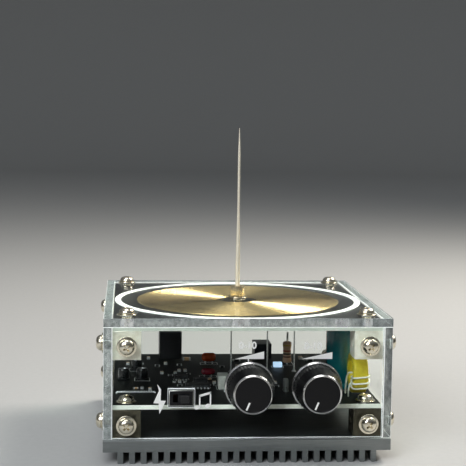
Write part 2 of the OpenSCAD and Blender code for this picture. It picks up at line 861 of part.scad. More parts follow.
module status_lamp() {
    color("#cfe3f2") translate([lamp_at[0] - lamp[0] / 2, lamp_at[1] - lamp[1] / 2, board_top])
        cube(lamp);
}

// ---- controls ----

// A rotary control stands on the board; its collar reaches into the front sheet.
module rotary_control(x) {
    collar = pot_gap + sheet_t * 0.6;
    difference() {
        translate([x, 0, 0]) {
            translate([-pot_w / 2, pot_front, board_top]) cube([pot_w, pot_depth, pot_h]);
            translate([0, pot_front, shaft_z]) rotate([90, 0, 0])
                cylinder(d = collar_d, h = collar);
        }
        translate([x, pot_front + shaft_seat + 0.3, shaft_z]) rotate([90, 0, 0])
            cylinder(d = shaft_d + 2 * shaft_play, h = shaft_seat + 0.3 + collar + eps);
    }
}

module freq_control() {
    color("#2f4f3a") rotary_control(freq_x);
}

module power_control() {
    color("#2f4f3a") rotary_control(power_x);
}

// The shaft runs from the control into the knob, with a slot across its end.
module control_shaft(x) {
    inner = pot_front + shaft_seat;
    outer = face_y - knob_bore + 0.3;
    slot = 1;
    color("#9a9a96")
    translate([x, 0, shaft_z])
        difference() {
            translate([0, inner, 0]) rotate([90, 0, 0]) cylinder(d = shaft_d, h = inner - outer);
            translate([-slot / 2, outer - eps, -shaft_d]) cube([slot, 5 + eps, 2 * shaft_d]);
        }
}

module freq_shaft() {
    control_shaft(freq_x);
}

module power_shaft() {
    control_shaft(power_x);
}

// Outline of the knurled band: pointed ridges all round.
module knurl_section(r) {
    polygon([for (i = [0:2 * knurl_count - 1])
        let (rr = i % 2 == 0 ? r : r - knurl_depth, a = 180 * i / knurl_count)
        [rr * cos(a), rr * sin(a)]]);
}

// A turned knob that points along +Z: skirt, knurled band, smooth cone and dished face.
module knob_form() {
    skirt_bevel = min(0.5, skirt_h / 2);
    cone_z = skirt_h + knurl_h;
    cone_h = knob_h - cone_z - knob_bevel;
    band_r = knob_d / 2 - skirt_bevel - 0.1;
    face_r = knob_front_d / 2;
    difference() {
        union() {
            cylinder(d = knob_d, h = skirt_h - skirt_bevel);
            translate([0, 0, skirt_h - skirt_bevel])
                cylinder(d1 = knob_d, d2 = knob_d - 2 * skirt_bevel, h = skirt_bevel);
            translate([0, 0, skirt_h - 0.1]) linear_extrude(knurl_h + 0.1) knurl_section(band_r);
            translate([0, 0, cone_z])
                cylinder(r1 = band_r - knurl_depth - 0.05, r2 = face_r, h = cone_h);
            translate([0, 0, cone_z + cone_h])
                cylinder(r1 = face_r, r2 = face_r - knob_bevel, h = knob_bevel);
        }
        translate([0, 0, knob_h - knob_dish])
            cylinder(r1 = face_r - knob_bevel - 0.5, r2 = face_r - knob_bevel - 0.1,
                     h = knob_dish + 0.001);
        translate([0, 0, -eps]) cylinder(d = shaft_d + 2 * thread_play, h = knob_bore + eps);
        rotate([0, 0, -pointer_at])
            translate([-pointer_w / 2, face_r - knob_bevel - pointer_len, knob_h - knob_dish - 0.3])
                cube([pointer_w, pointer_len + 0.2, knob_dish + 1]);
    }
}

module knob_at(x) {
    color("#18181a") translate([x, face_y, shaft_z]) rotate([90, 0, 0]) knob_form();
}

module freq_knob() {
    knob_at(freq_x);
}

module power_knob() {
    knob_at(power_x);
}

// ---- slide switch ----

// The folded metal shell: open at the rear, with a slot in its face for the button.
module switch_shell() {
    h = switch_h;
    window_h = slider_h + 2 * slider_play;
    color("#8b8d8a")
    translate([switch_x, switch_front, board_top])
        difference() {
            translate([-switch_w / 2, 0, 0]) cube([switch_w, switch_depth, h]);
            translate([-switch_w / 2 + shell_t, shell_t, shell_t])
                cube([switch_w - 2 * shell_t, switch_depth, h - 2 * shell_t]);
            translate([-slot_w / 2, -eps, (h - window_h) / 2])
                cube([slot_w, shell_t + 2 * eps, window_h]);
        }
}

// The insulating board that closes the shell's rear.
module switch_base() {
    play = 0.05;
    t = 1;
    color("#6b3a22")
    translate([switch_x - switch_w / 2 + shell_t + play, switch_front + switch_depth - t,
               board_top + shell_t + play])
        cube([switch_w - 2 * (shell_t + play), t, switch_h - 2 * (shell_t + play)]);
}

// The button rests at the right end of its slot; a flange keeps it in the shell.
module mode_slider() {
    x = switch_x + slider_travel / 2;
    back = switch_front + switch_depth - 1 - slider_play;
    front = switch_front + shell_t + slider_play;
    flange_w = min(slider_w + 1.4, switch_w - 2 * shell_t - slider_travel - 2 * slider_play);
    flange_h = switch_h - 2 * shell_t - 2 * slider_play;
    z = board_top + switch_h / 2;
    color("#141416") {
        translate([x - flange_w / 2, front, z - flange_h / 2])
            cube([flange_w, back - front, flange_h]);
        translate([x - slider_w / 2, switch_front - slider_out, z - slider_h / 2])
            cube([slider_w, slider_out + shell_t + 2 * slider_play, slider_h]);
    }
}

// ---- rear sockets ----

module power_socket() {
    bore_depth = 9.5;
    color("#161618")
    translate([power_in_x, case_d / 2, 0]) {
        difference() {
            translate([-power_in_w / 2, -socket_depth, board_top])
                cube([power_in_w, socket_depth, power_in_h]);
            translate([0, -bore_depth, power_in_z]) rotate([-90, 0, 0])
                cylinder(d = power_in_bore, h = bore_depth + eps);
        }
        translate([0, -bore_depth - 0.5, power_in_z]) rotate([-90, 0, 0])
            cylinder(d = power_in_pin, h = bore_depth - 0.5);
    }
}

module audio_socket() {
    bore_depth = socket_depth - 2;
    color("#161618")
    translate([audio_in_x, case_d / 2, audio_z])
        difference() {
            union() {
                translate([-audio_in_w / 2, -socket_depth, -audio_in_h / 2])
                    cube([audio_in_w, socket_depth - sheet_t - socket_play, audio_in_h]);
                translate([0, -sheet_t - 1, 0]) rotate([-90, 0, 0])
                    cylinder(d = audio_nose_d, h = sheet_t + 1);
            }
            translate([0, -bore_depth, 0]) rotate([-90, 0, 0])
                cylinder(d = audio_bore, h = bore_depth + eps);
        }
}

heat_sink();
left_wall();
right_wall();
front_panel();
rear_panel();
top_plate();
winding_board();
secondary_winding();
primary_ring();
upper_blocks();
lower_blocks();
top_screws();
top_washers();
front_screws();
front_washers();
rear_screws();
rear_washers();
side_screws();
side_washers();
base_screws();
discharge_needle();
needle_stud();
needle_washer();
needle_screw();
main_board();
board_screws();
board_washers();
power_transistors();
transistor_pads();
transistor_screws();
bulk_capacitor();
toroid_core();
toroid_winding();
coil_leads();
film_capacitor();
orange_capacitor();
red_capacitor();
upright_resistor();
driver_chips();
small_capacitors();
status_lamp();
freq_control();
power_control();
freq_shaft();
power_shaft();
freq_knob();
power_knob();
switch_shell();
switch_base();
mode_slider();
power_socket();
audio_socket();
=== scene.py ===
# %% [markdown]
# # A desktop resonant transformer, dressed for its picture
# The real object is a clear box on a finned aluminium plate. A gold spiral lies under the lid and
# feeds a steel needle; a driver board with two knobs and a slide switch sits behind the front.
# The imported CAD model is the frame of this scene. It is loaded first and nothing in it is moved,
# so every piece below is placed by asking the frame where its node is.

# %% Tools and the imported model
import json
import math
import random

import bmesh
import bpy
from mathutils import Matrix, Vector

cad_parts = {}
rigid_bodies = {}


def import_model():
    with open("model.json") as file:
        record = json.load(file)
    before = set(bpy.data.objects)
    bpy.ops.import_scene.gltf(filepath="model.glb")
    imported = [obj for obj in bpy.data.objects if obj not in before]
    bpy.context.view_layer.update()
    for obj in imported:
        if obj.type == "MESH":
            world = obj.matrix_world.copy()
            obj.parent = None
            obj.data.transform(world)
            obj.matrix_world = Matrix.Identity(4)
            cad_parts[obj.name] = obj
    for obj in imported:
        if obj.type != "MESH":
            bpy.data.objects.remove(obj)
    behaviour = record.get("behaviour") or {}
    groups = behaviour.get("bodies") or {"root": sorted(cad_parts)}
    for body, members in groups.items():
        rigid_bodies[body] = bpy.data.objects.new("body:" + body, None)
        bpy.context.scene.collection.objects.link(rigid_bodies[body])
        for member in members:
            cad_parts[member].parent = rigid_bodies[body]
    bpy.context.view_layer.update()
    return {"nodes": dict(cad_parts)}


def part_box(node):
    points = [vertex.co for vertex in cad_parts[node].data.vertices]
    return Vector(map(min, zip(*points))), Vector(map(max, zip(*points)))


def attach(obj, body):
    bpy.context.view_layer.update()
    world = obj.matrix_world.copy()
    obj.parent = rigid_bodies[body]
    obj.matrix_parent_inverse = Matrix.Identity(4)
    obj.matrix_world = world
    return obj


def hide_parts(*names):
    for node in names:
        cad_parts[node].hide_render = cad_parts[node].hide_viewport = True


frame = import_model()
cad_nodes = frame["nodes"]
MM = 0.001

# %% [markdown]
# The camera stands where the photograph was taken from. Its place and its three angles were
# fitted to the corners of the case, so they are real sizes: millimetres and degrees. A matrix
# with the camera's right, up and back directions as its columns turns it exactly.

# %% The photograph's camera
CAMERA_PLACE = Vector((-42.2, -479.7, 120.5))
CAMERA_YAW, CAMERA_DIP, CAMERA_ROLL = (math.radians(a) for a in (4.792, 5.377, -0.747))
LENS, SENSOR = 98.43, 36


def camera_axes():
    ahead = Vector((math.sin(CAMERA_YAW) * math.cos(CAMERA_DIP),
                    math.cos(CAMERA_YAW) * math.cos(CAMERA_DIP), -math.sin(CAMERA_DIP)))
    level = Vector((math.cos(CAMERA_YAW), -math.sin(CAMERA_YAW), 0))
    under = ahead.cross(level)
    right = level * math.cos(CAMERA_ROLL) + under * math.sin(CAMERA_ROLL)
    down = under * math.cos(CAMERA_ROLL) - level * math.sin(CAMERA_ROLL)
    return right, -down, -ahead


def show(name, data):
    """Puts an object with that data into the scene."""
    shown = bpy.data.objects.new(name, data)
    bpy.context.scene.collection.objects.link(shown)
    return shown


camera = show("studio_camera", bpy.data.cameras.new("studio_camera"))
camera.data.lens, camera.data.sensor_width = LENS, SENSOR
camera.data.clip_start, camera.data.clip_end = 0.01, 20
camera.matrix_world = Matrix(camera_axes()).transposed().to_4x4()
camera.location = CAMERA_PLACE * MM
bpy.context.scene.camera = camera
print("camera at", tuple(CAMERA_PLACE), "mm, lens", LENS, "mm")

# %% [markdown]
# Materials are node trees. Written out node by node they are hard to read, so two small classes
# make them look like sums: a Signal is an output socket that knows + - *, powers and comparisons,
# and a Recipe is a material with one method that adds any node.

# %% Signals: sockets that can be used in sums
class Signal:
    """A node's output that can be added, scaled and compared like a number."""

    def __init__(self, recipe, socket):
        self.recipe, self.socket = recipe, socket

    def work_out(self, operation, first, second):
        return self.recipe.node("ShaderNodeMath", {"operation": operation}, {0: first, 1: second})

    def __add__(self, other):
        return self.work_out("ADD", self, other)

    def __sub__(self, other):
        return self.work_out("SUBTRACT", self, other)

    def __rsub__(self, other):
        return self.work_out("SUBTRACT", other, self)

    def __mul__(self, other):
        return self.work_out("MULTIPLY", self, other)

    def __pow__(self, other):
        return self.work_out("POWER", self, other)

    def __gt__(self, other):
        return self.work_out("GREATER_THAN", self, other)

    def __lt__(self, other):
        return self.work_out("LESS_THAN", self, other)

    __radd__ = __add__
    __rmul__ = __mul__


# %% [markdown]
# Colours are written as the usual hex codes, as they look on a screen, and turned into the
# light levels that Blender works with. A Recipe starts with an empty tree and ends by joining
# its surface to the output.

# %% Recipes: materials built by one method
def tint(code):
    levels = [int(code[i:i + 2], 16) / 255 for i in (1, 3, 5)]
    return tuple(c / 12.92 if c < 0.04045 else ((c + 0.055) / 1.055) ** 2.4 for c in levels) + (1,)


class Recipe:
    """A material that is built as one node tree."""

    def __init__(self, name):
        self.material = bpy.data.materials.new(name)
        self.material.use_nodes = True
        self.tree = self.material.node_tree
        self.tree.nodes.clear()

    def node(self, kind, settings=None, values=None, take=0):
        made = self.tree.nodes.new(kind)
        for name, value in (settings or {}).items():
            if name == "stops":
                self.set_stops(made.color_ramp, value)
            else:
                setattr(made, name, value)
        for name, value in (values or {}).items():
            if isinstance(value, Signal):
                self.tree.links.new(value.socket, made.inputs[name])
            else:
                made.inputs[name].default_value = value
        return Signal(self, made.outputs[take]) if made.outputs else None

    @staticmethod
    def set_stops(ramp, stops):
        while len(ramp.elements) < len(stops):
            ramp.elements.new(0.5)
        for element, (place, colour) in zip(ramp.elements, stops):
            element.position, element.color = place, tint(colour)

    def place(self, scale=(1, 1, 1), turn=(0, 0, 0)):
        """Object coordinates in millimetres, stretched and turned."""
        spot = self.node("ShaderNodeTexCoord", take="Object")
        return self.node("ShaderNodeMapping", {}, {
            "Vector": spot, "Rotation": turn, "Scale": [s / MM for s in scale]})

    def across(self):
        """How far along X a point lies, in millimetres."""
        return self.node("ShaderNodeSeparateXYZ", {}, {0: self.place()}, take="X")

    def noise(self, scale=1.0, detail=2.0, place=None):
        return self.node("ShaderNodeTexNoise", {}, {
            "Vector": place or self.place(), "Scale": scale, "Detail": detail})

    def blend(self, share, first, second):
        """A mix of two colours."""
        return self.node("ShaderNodeMix", {"data_type": "RGBA"}, {0: share, 6: first, 7: second},
                         take=2)

    def ramp(self, signal, stops):
        return self.node("ShaderNodeValToRGB", {"stops": stops}, {0: signal})

    def bump(self, height, depth):
        """A normal for a relief whose height runs from 0 to 1 over a depth in millimetres."""
        return self.node("ShaderNodeBump", {}, {"Height": height, "Distance": depth * MM})

    def principled(self, colour, roughness, **others):
        values = {"Base Color": colour, "Roughness": roughness}
        values.update({name.replace("_", " "): value for name, value in others.items()})
        return self.node("ShaderNodeBsdfPrincipled", {}, values)

    def done(self, surface):
        self.node("ShaderNodeOutputMaterial", {}, {"Surface": surface})
        return self.material


print("a mid grey of #808080 is a light level of", round(tint("#808080")[0], 3))

# %% [markdown]
# The set is a wide round bowl of pale paper: a flat floor that curves up into a low wall all
# round, so that every side view has the same plain background. The lamps hang over the object,
# so the paper is palest under it and falls off to grey far behind. Like every round piece below,
# the bowl is one section spun round the Z axis. A shape is worked out in millimetres as a bmesh,
# and scaled to metres when it becomes an object.

# %% Shapes that are spun
def edge_line(bm, points, closed=True):
    """Joins points (radius, height) by edges, without faces yet."""
    line = [bm.verts.new((r, 0, z)) for r, z in points]
    for pair in zip(line, line[1:]):
        bm.edges.new(pair)
    if closed:
        bm.edges.new((line[-1], line[0]))


def spun(section, steps, closed=True):
    """A bmesh that is the section (radius, height) spun round the Z axis."""
    bm = bmesh.new()
    edge_line(bm, section, closed)
    bmesh.ops.spin(bm, geom=bm.verts[:] + bm.edges[:], axis=(0, 0, 1), cent=(0, 0, 0),
                   steps=steps, angle=2 * math.pi, use_merge=True)
    bmesh.ops.remove_doubles(bm, verts=bm.verts, dist=0.001)
    bmesh.ops.recalc_face_normals(bm, faces=bm.faces)
    return bm


def as_mesh(name, bm):
    mesh = bpy.data.meshes.new(name)
    bm.to_mesh(mesh)
    bm.free()
    return mesh


def smooth_object(name, bm):
    """Scales a shape from millimetres to metres and shows it with smooth faces."""
    bmesh.ops.scale(bm, vec=(MM,) * 3, verts=bm.verts)
    shown = show(name, as_mesh(name, bm))
    for face in shown.data.polygons:
        face.use_smooth = True
    return shown


# %% [markdown]
# The bowl's section is three points of flat floor, a quarter round and the top of the wall.

# %% The paper bowl
BOWL_RADIUS, BOWL_CURVE, BOWL_WALL, ARC_STEPS = 2600, 500, 1500, 10


def bowl_section():
    flat = [(0, 0), (300, 0), (900, 0)]
    arc = []
    for i in range(ARC_STEPS + 1):
        a = math.radians(90) * i / ARC_STEPS
        arc.append((BOWL_RADIUS - BOWL_CURVE + BOWL_CURVE * math.sin(a),
                    BOWL_CURVE - BOWL_CURVE * math.cos(a)))
    return flat + arc + [(BOWL_RADIUS, BOWL_WALL)]


def studio_paper():
    r = Recipe("studio_paper")
    fibre = r.noise(scale=0.4, detail=4)
    colour = r.blend(fibre, tint("#acadab"), tint("#b5b5b3"))
    return r.done(r.principled(colour, 0.85))


bowl = smooth_object("paper_bowl", spun(bowl_section(), 64, closed=False))
bowl.data.materials.append(studio_paper())
print("paper bowl:", len(bowl.data.polygons), "faces")

# %% [markdown]
# The light is a soft key high on the right and a little behind, which draws the two bright
# wedges across the spiral, a broad fill from the front left, and a weak panel overhead. Together
# they are brighter than a plain level: the paper comes out at 0.9 to 1.5 times its written
# colour, and the white ring clips. To bring the level down, lower the three powers together.

# %% Lamps and world
def lamp(name, place, aim, width, height, power, colour="#ffffff"):
    light = bpy.data.lights.new(name, "AREA")
    light.shape, light.size, light.size_y = "RECTANGLE", width * MM, height * MM
    light.energy, light.color = power, tint(colour)[:3]
    shown = show(name, light)
    shown.location = Vector(place) * MM
    shown.rotation_mode = "QUATERNION"
    shown.rotation_quaternion = (Vector(aim) - Vector(place)).to_track_quat("-Z", "Y")


lamp("key_lamp", (480, 300, 560), (0, 0, 40), 360, 300, 6.4, "#fff8ee")
lamp("fill_lamp", (-420, -620, 520), (0, 0, 20), 500, 400, 5.4, "#f4f8ff")
lamp("top_lamp", (-80, -60, 900), (0, 0, 0), 500, 500, 2.2)
AIR_COLOUR, AIR_STRENGTH = "#bfc3c8", 0.36
world = bpy.data.worlds.new("studio_air")
world.use_nodes = True
air = world.node_tree.nodes["Background"].inputs
air["Color"].default_value = tint(AIR_COLOUR)
air["Strength"].default_value = AIR_STRENGTH
bpy.context.scene.world = world
bpy.context.scene.view_settings.view_transform = "Standard"

# %% [markdown]
# ## Finishes
# Clear acrylic bends light, so it is a real refracting surface with the index of the plastic. In a
# pale room its mirror image of the walls would lie over everything inside like fog, so the plain
# refraction takes over where the Fresnel factor is low, and the full glass stays where it is high,
# at grazing angles and inside the sheet. Lamps are let straight through by a transparent shader
# that only shadow rays meet; without it the inside of the box would be dark and noisy.
# The cut faces are milky plastic. The lid's have four painted glints besides: painted highlights,
# whose places were chosen for the front view; only the outer two stand at a screw. A lid with the
# finish of the other sheets would be truer.

# %% Clear acrylic and its cut edges
ACRYLIC_INDEX = 1.49


def lets_lamps_through(r, surface, share="#eef4f2"):
    lit = r.node("ShaderNodeLightPath", take="Is Shadow Ray")
    clear = r.node("ShaderNodeBsdfTransparent", {}, {"Color": tint(share)})
    return r.node("ShaderNodeMixShader", {}, {0: lit, 1: surface, 2: clear})


def clear_acrylic():
    r = Recipe("clear_acrylic")
    marks = r.noise(scale=0.12, detail=5) > 0.62
    glass = r.principled(tint("#fbfdfc"), 0.004 + marks * 0.02, IOR=ACRYLIC_INDEX,
                         Transmission_Weight=1.0)
    bent = r.node("ShaderNodeBsdfRefraction", {}, {"Color": tint("#fbfdfc"), "IOR": ACRYLIC_INDEX,
                                                   "Roughness": 0.0})
    mirror_share = r.node("ShaderNodeFresnel", {}, {"IOR": ACRYLIC_INDEX}) ** 1.6
    surface = r.node("ShaderNodeMixShader", {}, {0: 1 - mirror_share, 1: glass, 2: bent})
    return r.done(lets_lamps_through(r, surface))


def polished_edge(name="polished_edge", painted_glints=()):
    """The sheet's cut faces, sawn and flamed. A painted glint is a painted highlight along X: its middle
    and half.
    """
    r = Recipe(name)
    waves = r.noise(scale=1.0, detail=3, place=r.place(scale=(0.8, 0.8, 0.5)))
    colour = r.ramp(waves, [(0.34, "#dde2e1"), (0.5, "#b3bab8"), (0.66, "#868e8c")])
    across = r.across()
    for centre, half in painted_glints:
        away = across - centre
        # each painted glint blends white over the edge: a painted highlight
        colour = r.blend((away * away < half * half) * (1.2 - waves), colour, tint("#ffffff"))
    surface = r.principled(colour, 0.1 + waves * 0.12, IOR=ACRYLIC_INDEX, Transmission_Weight=0.72,
                           Normal=r.bump(waves, 0.02))
    return r.done(lets_lamps_through(r, surface, "#dfe4e3"))


def scraped_edge():
    """The narrow bevel along every edge, painted white and given a slight glow: a painted highlight."""
    r = Recipe("scraped_edge")
    scratches = r.noise(scale=2.5, detail=3)
    # White and a weak emission stand in for light caught by the bevel: painted highlight and glow
    colour = r.blend(scratches, tint("#ffffff"), tint("#e6eae9"))
    return r.done(r.principled(colour, 0.3 + scratches * 0.2, Coat_Weight=0.5,
                               Emission_Color=tint("#ffffff"), Emission_Strength=0.12))


SHEET_FINISH = [clear_acrylic(), polished_edge(), scraped_edge()]
# Painted highlights on the lid's front edge: middle and half width along X, in millimetres
LID_PAINTED_GLINTS = [(-41.9, 2.2), (-3.0, 2.9), (31.8, 2.4), (41.2, 1.4)]
LID_FINISH = [SHEET_FINISH[0], polished_edge("lid_edge_painted_glints", LID_PAINTED_GLINTS), SHEET_FINISH[2]]
print("sheet finishes:", [m.name for m in SHEET_FINISH])

# %% [markdown]
# Bright metals reflect the room, so their character comes from roughness and a fine relief: long
# streaks where they were milled or drawn, soft mottling where they were cast and plated.

# %% Metals
def plated(name, bright, dull, roughness, relief=0.01, grain=1.2, metallic=1.0):
    """Plated or cast metal: mottled colour and roughness, with shallow pits."""
    r = Recipe(name)
    cloud = r.noise(scale=grain, detail=4)
    pits = r.noise(scale=grain * 5, detail=2)
    colour = r.blend(cloud, tint(bright), tint(dull))
    return r.done(r.principled(colour, roughness + (cloud - 0.5) * 0.18, Metallic=metallic,
                               Normal=r.bump(pits, relief)))


def streaked(name, bright, dull, roughness, stretch, relief=0.012, metallic=1.0):
    """Milled, turned or drawn metal: streaks that are long where stretch is small."""
    r = Recipe(name)
    streaks = r.noise(scale=2.2, detail=4, place=r.place(scale=stretch))
    cloud = r.noise(scale=0.15, detail=2)
    colour = r.blend(streaks * 0.7 + cloud * 0.3, tint(bright), tint(dull))
    return r.done(r.principled(colour, roughness + (streaks - 0.5) * 0.2, Metallic=metallic,
                               Normal=r.bump(streaks, relief)))


nickel = plated("bright_nickel", "#fdf7e6", "#d3c9b0", 0.2)
# A pale, less metallic copy of the nickel for the upper cubes: partly painted light
painted_lit_nickel = plated("painted_lit_nickel", "#fffaf0", "#d6caae", 0.36, grain=0.5, metallic=0.25)
# A dark copy of the nickel for the lower cubes: painted shade
painted_shade_nickel = plated("painted_shade_nickel", "#67604f", "#37332c", 0.36, grain=0.8, metallic=0.7)
aluminium = streaked("heat_sink_aluminium", "#9da1a1", "#707575", 0.42, (0.06, 1.2, 2.4))
# Near-white aluminium for every bevel: bare metal and a painted highlight
bare_and_highlight_edge = streaked("bare_metal_and_highlight_edge", "#f4f5f4", "#cdd0cf", 0.26, (0.3, 1, 2.4))
steel = streaked("needle_steel", "#fff8e6", "#e4dac2", 0.4, (3, 3, 0.08), metallic=0.35)
brass = plated("stud_brass", "#f8efd2", "#d2b777", 0.26, metallic=0.8)
shell_steel = streaked("switch_steel", "#c9cac6", "#96978f", 0.3, (0.1, 1, 2))
shaft_metal = streaked("shaft_metal", "#c4c4bf", "#94948e", 0.28, (1, 2.5, 1))
tin = plated("tinned_leads", "#fbfcfb", "#cfd2d0", 0.26, grain=2.5, metallic=0.5)
silver_foil = plated("can_aluminium", "#dcdedd", "#b3b6b6", 0.3, grain=1.0)
print("finishes with the metals:", len(bpy.data.materials))

# %% [markdown]
# The spiral is gold over copper on a black board. Each turn is a rounded strand of its own, so
# the wedges of light come from the shape, as on a record; the finish only has to be gold, with
# drawing streaks that follow nothing in particular and a slightly worn roughness.

# %% Spiral gold, the white ring and the boards
def spiral_gold():
    r = Recipe("spiral_gold")
    cloud = r.noise(scale=0.08, detail=3)
    colour = r.blend(cloud, tint("#dcc592"), tint("#bfa46a"))
    fine = r.noise(scale=3, detail=2)
    return r.done(r.principled(colour, 0.22 + fine * 0.08, Metallic=1.0, Normal=r.bump(fine, 0.0012)))


def painted(name, colour, shade, roughness, grain=0.8, relief=0.006, **others):
    """Paint, plastic or lacquer: two close shades, and a relief as fine as its grain."""
    r = Recipe(name)
    cloud = r.noise(scale=grain, detail=3)
    fine = r.noise(scale=grain * 6, detail=2)
    return r.done(r.principled(r.blend(cloud, tint(colour), tint(shade)),
                               roughness + (fine - 0.5) * 0.12,
                               Normal=r.bump(fine, relief), **others))


def solder_mask():
    """Black board lacquer over hidden tracks, which stand up a little and look a shade lighter."""
    r = Recipe("black_board")
    place = r.place()
    cells = r.node("ShaderNodeTexBrick", {"offset": 0.5, "squash": 1.0}, {
        "Vector": place, "Scale": 0.32, "Mortar Size": 0.012, "Mortar Smooth": 0.4,
        "Brick Width": 1.7, "Row Height": 0.35}, take="Fac")
    islands = r.noise(scale=0.11, detail=1) > 0.47
    track = cells * islands
    weave = r.noise(scale=3, detail=2)
    colour = r.blend(track, tint("#0b0d0c"), tint("#1c211e"))
    return r.done(r.principled(colour, 0.42 + weave * 0.12, Specular_IOR_Level=0.12,
                               Normal=r.bump(track + weave * 0.15, 0.03)))


gold = spiral_gold()
white_ink = painted("white_ring", "#fbfbf7", "#eeeee8", 0.42)
board_black = solder_mask()
winding_black = painted("winding_board_black", "#090a0a", "#111212", 0.4, Specular_IOR_Level=0.12)
print("board finishes:", gold.name, white_ink.name, board_black.name)

# %% [markdown]
# The small parts each have the finish of their kind: glossy shrink sleeve, dipped epoxy, painted
# ferrite, moulded plastic. They share one recipe with different colours and grain.

# %% Plastics, sleeves and lacquers
black_metal = streaked("black_anodised", "#1a1a1c", "#0c0c0e", 0.34, (0.3, 0.3, 4), metallic=0.6)
turned_rim = streaked("turned_rim", "#f2f2f0", "#c8c8c6", 0.2, (1.5, 1.5, 1.5))
teal_sleeve = painted("teal_sleeve", "#0f6f78", "#0b5a63", 0.26, Coat_Weight=0.5)
sleeve_stripe = painted("sleeve_stripe", "#bfe9ea", "#a9d9dc", 0.3, Coat_Weight=0.4)
yellow_core = painted("yellow_core", "#dccb2e", "#b9a21d", 0.42, grain=0.9, relief=0.03)
pale_wire = painted("white_wire", "#f0f0e2", "#d6d8c4", 0.3, Coat_Weight=0.4)
lead_grey = painted("grey_lead", "#8b9292", "#666c6c", 0.35)
film_grey = painted("grey_box", "#dddcd2", "#8e8f88", 0.4, grain=0.5, Coat_Weight=0.2)
orange_dip = painted("orange_dip", "#c4501c", "#8f2e0c", 0.22, Coat_Weight=0.8)
red_dip = painted("red_dip", "#9a2334", "#6f1424", 0.22, Coat_Weight=0.8)
tan_lacquer = painted("tan_lacquer", "#d3aa86", "#b98a66", 0.35, Coat_Weight=0.4)
chip_black = painted("chip_black", "#1b1b1d", "#111112", 0.5, grain=2)
can_black = painted("can_black", "#141517", "#0c0d0e", 0.28, Coat_Weight=0.5)
control_green = painted("control_green", "#2f4f3a", "#213a2a", 0.4)
phenolic = painted("phenolic", "#7c3c22", "#5a2a17", 0.5, grain=1.5, relief=0.02)
button_black = painted("button_black", "#17171a", "#0e0e10", 0.38)
socket_black = painted("socket_black", "#18181a", "#0f0f11", 0.45)
pad_grey = painted("pad_grey", "#9fa6a8", "#868d8f", 0.6)
epoxy_black = painted("transistor_black", "#1b1b1b", "#111111", 0.55, grain=3, relief=0.015)
print("finishes so far:", len(bpy.data.materials))

# %% [markdown]
# ## Helpers for the pieces
# Shapes are modelled in millimetres and scaled to metres at the end, by make_piece, which also
# gives the piece its materials and its body, and hides the CAD nodes that it stands for. Faces are
# smooth except across sharp edges. A CAD node's mesh is loose triangles, so copy_of joins a copy of
# it and makes its flat faces whole before soften bevels its edges.

# %% Helpers: copy, soften, finish
MERGE_DISTANCE, SHARP_TURN = 0.003, 35


def span(node):
    """A node's lowest and highest corner, in millimetres."""
    low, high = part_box(node)
    return low / MM, high / MM


def middle(node):
    low, high = span(node)
    return (low + high) / 2


def merged_copy(node):
    """A node's mesh in millimetres, with its loose triangles joined at their corners."""
    bm = bmesh.new()
    bm.from_mesh(cad_nodes[node].data)
    bmesh.ops.scale(bm, vec=(1 / MM,) * 3, verts=bm.verts)
    bmesh.ops.remove_doubles(bm, verts=bm.verts, dist=MERGE_DISTANCE)
    return bm


def copy_of(node):
    bm = merged_copy(node)
    bmesh.ops.dissolve_limit(bm, angle_limit=math.radians(1), verts=bm.verts, edges=bm.edges)
    return bm


def bevel(bm, edges, width, segments=1):
    return bmesh.ops.bevel(bm, geom=edges, offset=width, offset_type="OFFSET", segments=segments,
                           profile=0.5, affect="EDGES", clamp_overlap=True, material=-1)["faces"]


def soften(bm, width, segments=1, only=lambda edge: True):
    """Bevels the sharp edges, or those of them that the test picks."""
    sharp = [e for e in bm.edges if len(e.link_faces) == 2
             and e.calc_face_angle() > math.radians(SHARP_TURN) and only(e)]
    return bevel(bm, sharp, width, segments)


def block(bm, size, centre=(0, 0, 0)):
    """Adds a box to a bmesh and gives back its corners."""
    made = bmesh.ops.create_cube(bm, size=1)["verts"]
    bmesh.ops.scale(bm, vec=size, verts=made)
    bmesh.ops.translate(bm, vec=centre, verts=made)
    return made


def turn_about_z(bm, degrees, verts):
    bmesh.ops.rotate(bm, matrix=Matrix.Rotation(math.radians(degrees), 3, "Z"), verts=verts)


def spot(face):
    return face.calc_center_median()


def make_piece(name, bm, materials, slot, body="case", replaces=(), sharp=28):
    piece = smooth_object(name, bm)
    for material in materials:
        piece.data.materials.append(material)
    piece.data.set_sharp_from_angle(angle=math.radians(sharp))
    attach(piece, body)
    if replaces:
        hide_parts(*replaces)
    return piece


def paint(faces, index, test=lambda face: True):
    for face in faces:
        if test(face):
            face.material_index = index


# %% [markdown]
# ## The clear case
# Each acrylic sheet is the CAD sheet made a hair smaller, so that sheets which touch keep an air
# gap between them as real ones do; without it two glass faces would lie in one plane. The long
# edges get a narrow bevel, painted white with a slight glow: a painted highlight, which draws the
# white lines round the box.

# %% The five acrylic sheets
SHEET_PLAY, SHEET_BEVEL = 0.03, 0.28


def make_sheet(name, node, thickness_axis):
    bm = copy_of(node)
    low, high = span(node)
    centre = (low + high) / 2
    shrink = [1 - 2 * SHEET_PLAY / s for s in high - low]
    bmesh.ops.scale(bm, vec=shrink, verts=bm.verts, space=Matrix.Translation(-centre))
    bevels = soften(bm, SHEET_BEVEL)
    paint(bm.faces, 1, lambda face: abs(face.normal[thickness_axis]) < 0.9)
    paint(bevels, 2, lambda face: max(abs(c) for c in face.normal) < 0.9)
    finish = LID_FINISH if node == "top_plate" else SHEET_FINISH
    return make_piece(name, bm, finish, "clear_acrylic", replaces=[node], sharp=20)


